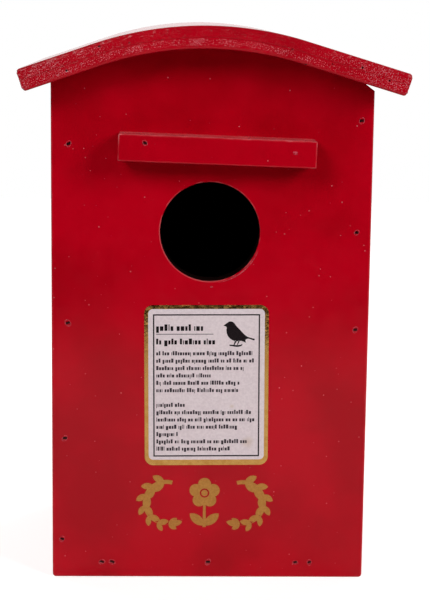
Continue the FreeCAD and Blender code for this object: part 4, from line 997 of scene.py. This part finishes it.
gold_foil = metal("creased_gold_foil", "d0984e", "e6b466", (0.12, 0.22), 2.2, 0.65, 0.12,
                  flat_below=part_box("notice_foil")[1].z - 20 * MM)
gold_ink = metal("gold_transfer_ink", "cf924a", "dca257", (0.32, 0.45), 0.8, 0.2, 0.05)
dress("notice_foil", gold_foil)
for node in EMBLEM:
    dress(node, gold_ink)

sheet_low, sheet_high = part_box("notice_sheet")
STAINS = [(Vector((0.72, 0, 0.36)), 2.6), (Vector((0.86, 0, 0.12)), 4.5), (Vector((0.2, 0, 0.93)), 1.6)]
paper, tree, shader, place = principled("matt_printed_paper", Roughness=0.6, IOR=1.45)
mottle = step(tree, noise(tree, place, 0.9, 3.0), 0.3, 0.7)
tint = coated(tree, colour("d6c6ca"), (mottle, colour("e0d1d4")))
for share, size in STAINS:
    middle = [a + s * (b - a) for a, b, s in zip(sheet_low, sheet_high, share)]
    reach = add(tree, "ShaderNodeVectorMath", {0: place, 1: middle}, operation="DISTANCE")
    uneven = calc(tree, "ADD", reach.outputs["Value"],
                  calc(tree, "MULTIPLY", noise(tree, place, 2.5, 2.0), 2.0 * MM))
    spot = step(tree, uneven, 0.3 * size * MM, size * MM, 0.5, 0.0)
    tint = coated(tree, tint, (spot, colour("c4ab93")))
surface(tree, shader, tint, noise(tree, place, 0.6, 3.0), 0.15, 0.05)
dress("notice_sheet", paper)
print("paper", [round((b - a) / MM, 1) for a, b in zip(sheet_low, sheet_high)])

# %% [markdown]
# The print is a thin border, two headings, rows of text and a bird. At arm's length small print reads only
# as rows of marks, so that is what is printed: blank marks the size of letters, in words of uneven length.
# They repeat, so Geometry Nodes plant one bar on each mark's place. How long each row is gives the block
# its ragged right edge.

# %% Ink
ink = two_tone("offset_printing_ink", "150e11", "21181b", 0.5, 0.35, 0.75, Roughness=0.5, IOR=1.2)
pale_ink = two_tone("thin_printing_ink", "2c242a", "4a3f46", 0.45, 0.3, 0.7, Roughness=0.5, IOR=1.2)

NOTICE_TILT = math.radians(-0.5)
NOTICE_CENTRE = (sheet_low + sheet_high) / 2
INK_THICK = 0.02 * MM
INK_Y = sheet_low.y - INK_THICK
BORDER_WIDE, BORDER_HIGH, BORDER_LINE, BORDER_DROP = 48.0, 65.9, 0.6, 0.44
LEFT_MARGIN = -22.9
FIRST_HEADING, SECOND_HEADING, UNDERLINE = 26.2, 19.8, 23.6
ROW_TOP, ROW_PITCH = 14.5, 3.44
ROWS = [43.8, 44.1, 40.1, 25.1, 36.8, 36.5, 0, 12.8, 42.7, 44.5, 36.2, 9.1, 41.2, 33.6]


def on_notice(x, z):
    """A place on the paper from millimetres right of and above its middle, turned as the notice is."""
    flat = Vector((x * MM, 0, z * MM))
    turned = Matrix.Rotation(NOTICE_TILT, 3, "Y") @ flat
    return Vector((NOTICE_CENTRE.x + turned.x, INK_Y, NOTICE_CENTRE.z + turned.z))


def bar(x0, x1, z, height):
    """One bar: its middle on the paper, and its size along, up and through the paper."""
    return on_notice((x0 + x1) / 2, z), ((x1 - x0) * MM, height * MM, INK_THICK)


MARK_WIDTHS = (0.22, 0.5, 0.6, 0.66, 0.76)     # shares of a mark's height, as are the gaps
MARK_GAP, WORD_GAP = 0.22, 0.5


def marks(length, z, height, rng):
    """A row of blank marks the size of letters, in uneven words. Some marks stand taller or hang lower."""
    made, x, left_in_word = [], 0.0, 0
    while x < length:
        if left_in_word == 0:
            left_in_word = rng.choice((2, 3, 4, 4, 5, 6, 7, 9))
            x += WORD_GAP * height if made else 0.0
        wide = rng.choice(MARK_WIDTHS) * height
        tall = 0 if rng.random() < 0.62 else rng.choice((1, 1, -1))
        start = LEFT_MARGIN + x
        made.append(bar(start, start + wide, z + 0.22 * tall * height, (1.42 if tall else 1.0) * height))
        x += wide + MARK_GAP * height
        left_in_word -= 1
    return made


rng = random.Random(5)
heading = marks(21.3, FIRST_HEADING, 2.1, rng) + marks(26.3, SECOND_HEADING, 1.9, rng)
heading.append(bar(LEFT_MARGIN, LEFT_MARGIN + 26.0, UNDERLINE, 0.28))
rows = [b for n, length in enumerate(ROWS) for b in marks(length, ROW_TOP - n * ROW_PITCH, 1.35, rng)]
half_w, half_h = BORDER_WIDE / 2, BORDER_HIGH / 2
heading += [bar(-half_w, half_w, side * half_h - BORDER_DROP, BORDER_LINE) for side in (-1, 1)]
upright_size = (BORDER_LINE * MM, (BORDER_HIGH + BORDER_LINE) * MM, INK_THICK)
heading += [(on_notice(side * half_w, -BORDER_DROP), upright_size) for side in (-1, 1)]

printing, given = new_tree("printed_bars", ["Turn"])
block = add(printing, "GeometryNodeMeshCube", {"Size": (1, 1, 1)})
turn = add(printing, "ShaderNodeCombineXYZ", {0: math.radians(90), 1: given["Turn"], 2: 0.0})
put = add(printing, "GeometryNodeInstanceOnPoints",
          {"Points": given["Geometry"], "Instance": block.outputs[0], "Scale": carried(printing, "size"),
           "Rotation": turn.outputs[0]})
inked = finish_tree(printing, put.outputs[0], ink, smooth=False)
for name, bars, coat in (("notice_headings", heading, ink), ("notice_rows", rows, pale_ink)):
    inked.inputs["Material"].default_value = coat
    source = seeds(name + "_seed", [b[0] for b in bars], [(0, -1, 0)] * len(bars), [b[1] for b in bars])
    grown(name, source, printing, {"Turn": NOTICE_TILT}, "house")

# %% [markdown]
# The bird is a plain garden songbird on a twig, drawn for this notice: a closed curve with smooth and sharp
# points, filled flat. A curve is right here, because its outline is free and nothing in it repeats.

# %% Bird
BIRD_AT, BIRD_SIZE = (14.6, 24.1), 1.05
BODY = [(-6.6, 3.2), (-5.2, 4.3), (-3.9, 5.1), (-2.3, 4.7), (-1.1, 3.2), (0.7, 1.3), (2.5, -0.6),
        (3.6, -1.5), (7.0, -2.6), (6.9, -3.3), (3.1, -2.9), (3.2, -4.3), (1.2, -3.5), (-0.8, -3.6),
        (-3.1, -2.9), (-4.8, -1.0), (-5.3, 1.2), (-5.3, 2.6)]
SHARP = {0, 8, 9, 11}
LEGS = [[(-1.5, -3.3), (-1.1, -3.3), (-1.8, -5.3), (-2.2, -5.3)],
        [(0.0, -3.4), (0.4, -3.4), (-0.4, -5.3), (-0.8, -5.3)]]
TWIG = [(-4.0, -5.1), (0.8, -5.2), (1.5, -4.8), (1.7, -5.1), (1.0, -5.8), (-3.9, -5.7)]


def outline(curve, points, sharp):
    """One closed outline of a flat curve, smooth but for its sharp points."""
    spline = curve.splines.new("BEZIER")
    spline.bezier_points.add(len(points) - 1)
    spline.use_cyclic_u = True
    for n, (point, (x, z)) in enumerate(zip(spline.bezier_points, points)):
        point.co = (x * MM, z * MM, 0)
        kind = "VECTOR" if n in sharp else "AUTO"
        point.handle_left_type = point.handle_right_type = kind


bird_curve = bpy.data.curves.new("bird_outline", "CURVE")
bird_curve.dimensions, bird_curve.fill_mode, bird_curve.resolution_u = "2D", "BOTH", 6
bird_curve.extrude = 0.01 * MM
outline(bird_curve, BODY, SHARP)
for leg in LEGS:
    outline(bird_curve, leg, {0, 1, 2, 3})
outline(bird_curve, TWIG, {0, 2, 3, 5})
bird_source = placed("bird_source", bird_curve)
bird_mesh = bpy.data.meshes.new_from_object(bird_source.evaluated_get(bpy.context.evaluated_depsgraph_get()))
bpy.data.objects.remove(bird_source)
upright = Matrix.Rotation(NOTICE_TILT, 4, "Y") @ Matrix.Rotation(math.radians(90), 4, "X")
bird_mesh.transform(Matrix.Translation(on_notice(*BIRD_AT)) @ upright @ Matrix.Scale(BIRD_SIZE, 4))
bird_mesh.materials.clear()
bird_mesh.materials.append(ink)
bird = placed("notice_bird", bird_mesh)
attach(bird, "house")
print("bird faces:", len(bird_mesh.polygons))

# %% [markdown]
# ## Hardware
# Hinges, catch and pivot screw are cut and rolled from brass sheet under a thin lacquer; the hanger and its
# screws are zinc-plated steel. Both are brushed along their length, which draws the highlight out into a
# line, so the noise that drives colour and roughness is stretched the same way.

# %% Brass and zinc
brass = metal("lacquered_brass_sheet", "c19b54", "cfac66", (0.25, 0.34), 0.25, 0.12, 0.03, ALONG_X)
worn_brass = metal("turned_brass", "b08a46", "cba95f", (0.22, 0.38), 0.5, 0.2, 0.04)
zinc = metal("zinc_plated_steel", "a9adb1", "bfc3c6", (0.28, 0.42), 1.2, 0.12, 0.05)
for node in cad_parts:
    if "hinge" in node and "screws" not in node and "pin" not in node:
        dress(node, brass)
for node in ("hinge_board_screws", "hinge_flap_screws", "left_hinge_pin", "right_hinge_pin", "catch_screw",
             "catch_washer", "turn_catch"):
    dress(node, worn_brass)
for node in ("hanger_plate", "hanger_screws"):
    dress(node, zinc)
print("materials:", len(bpy.data.materials))
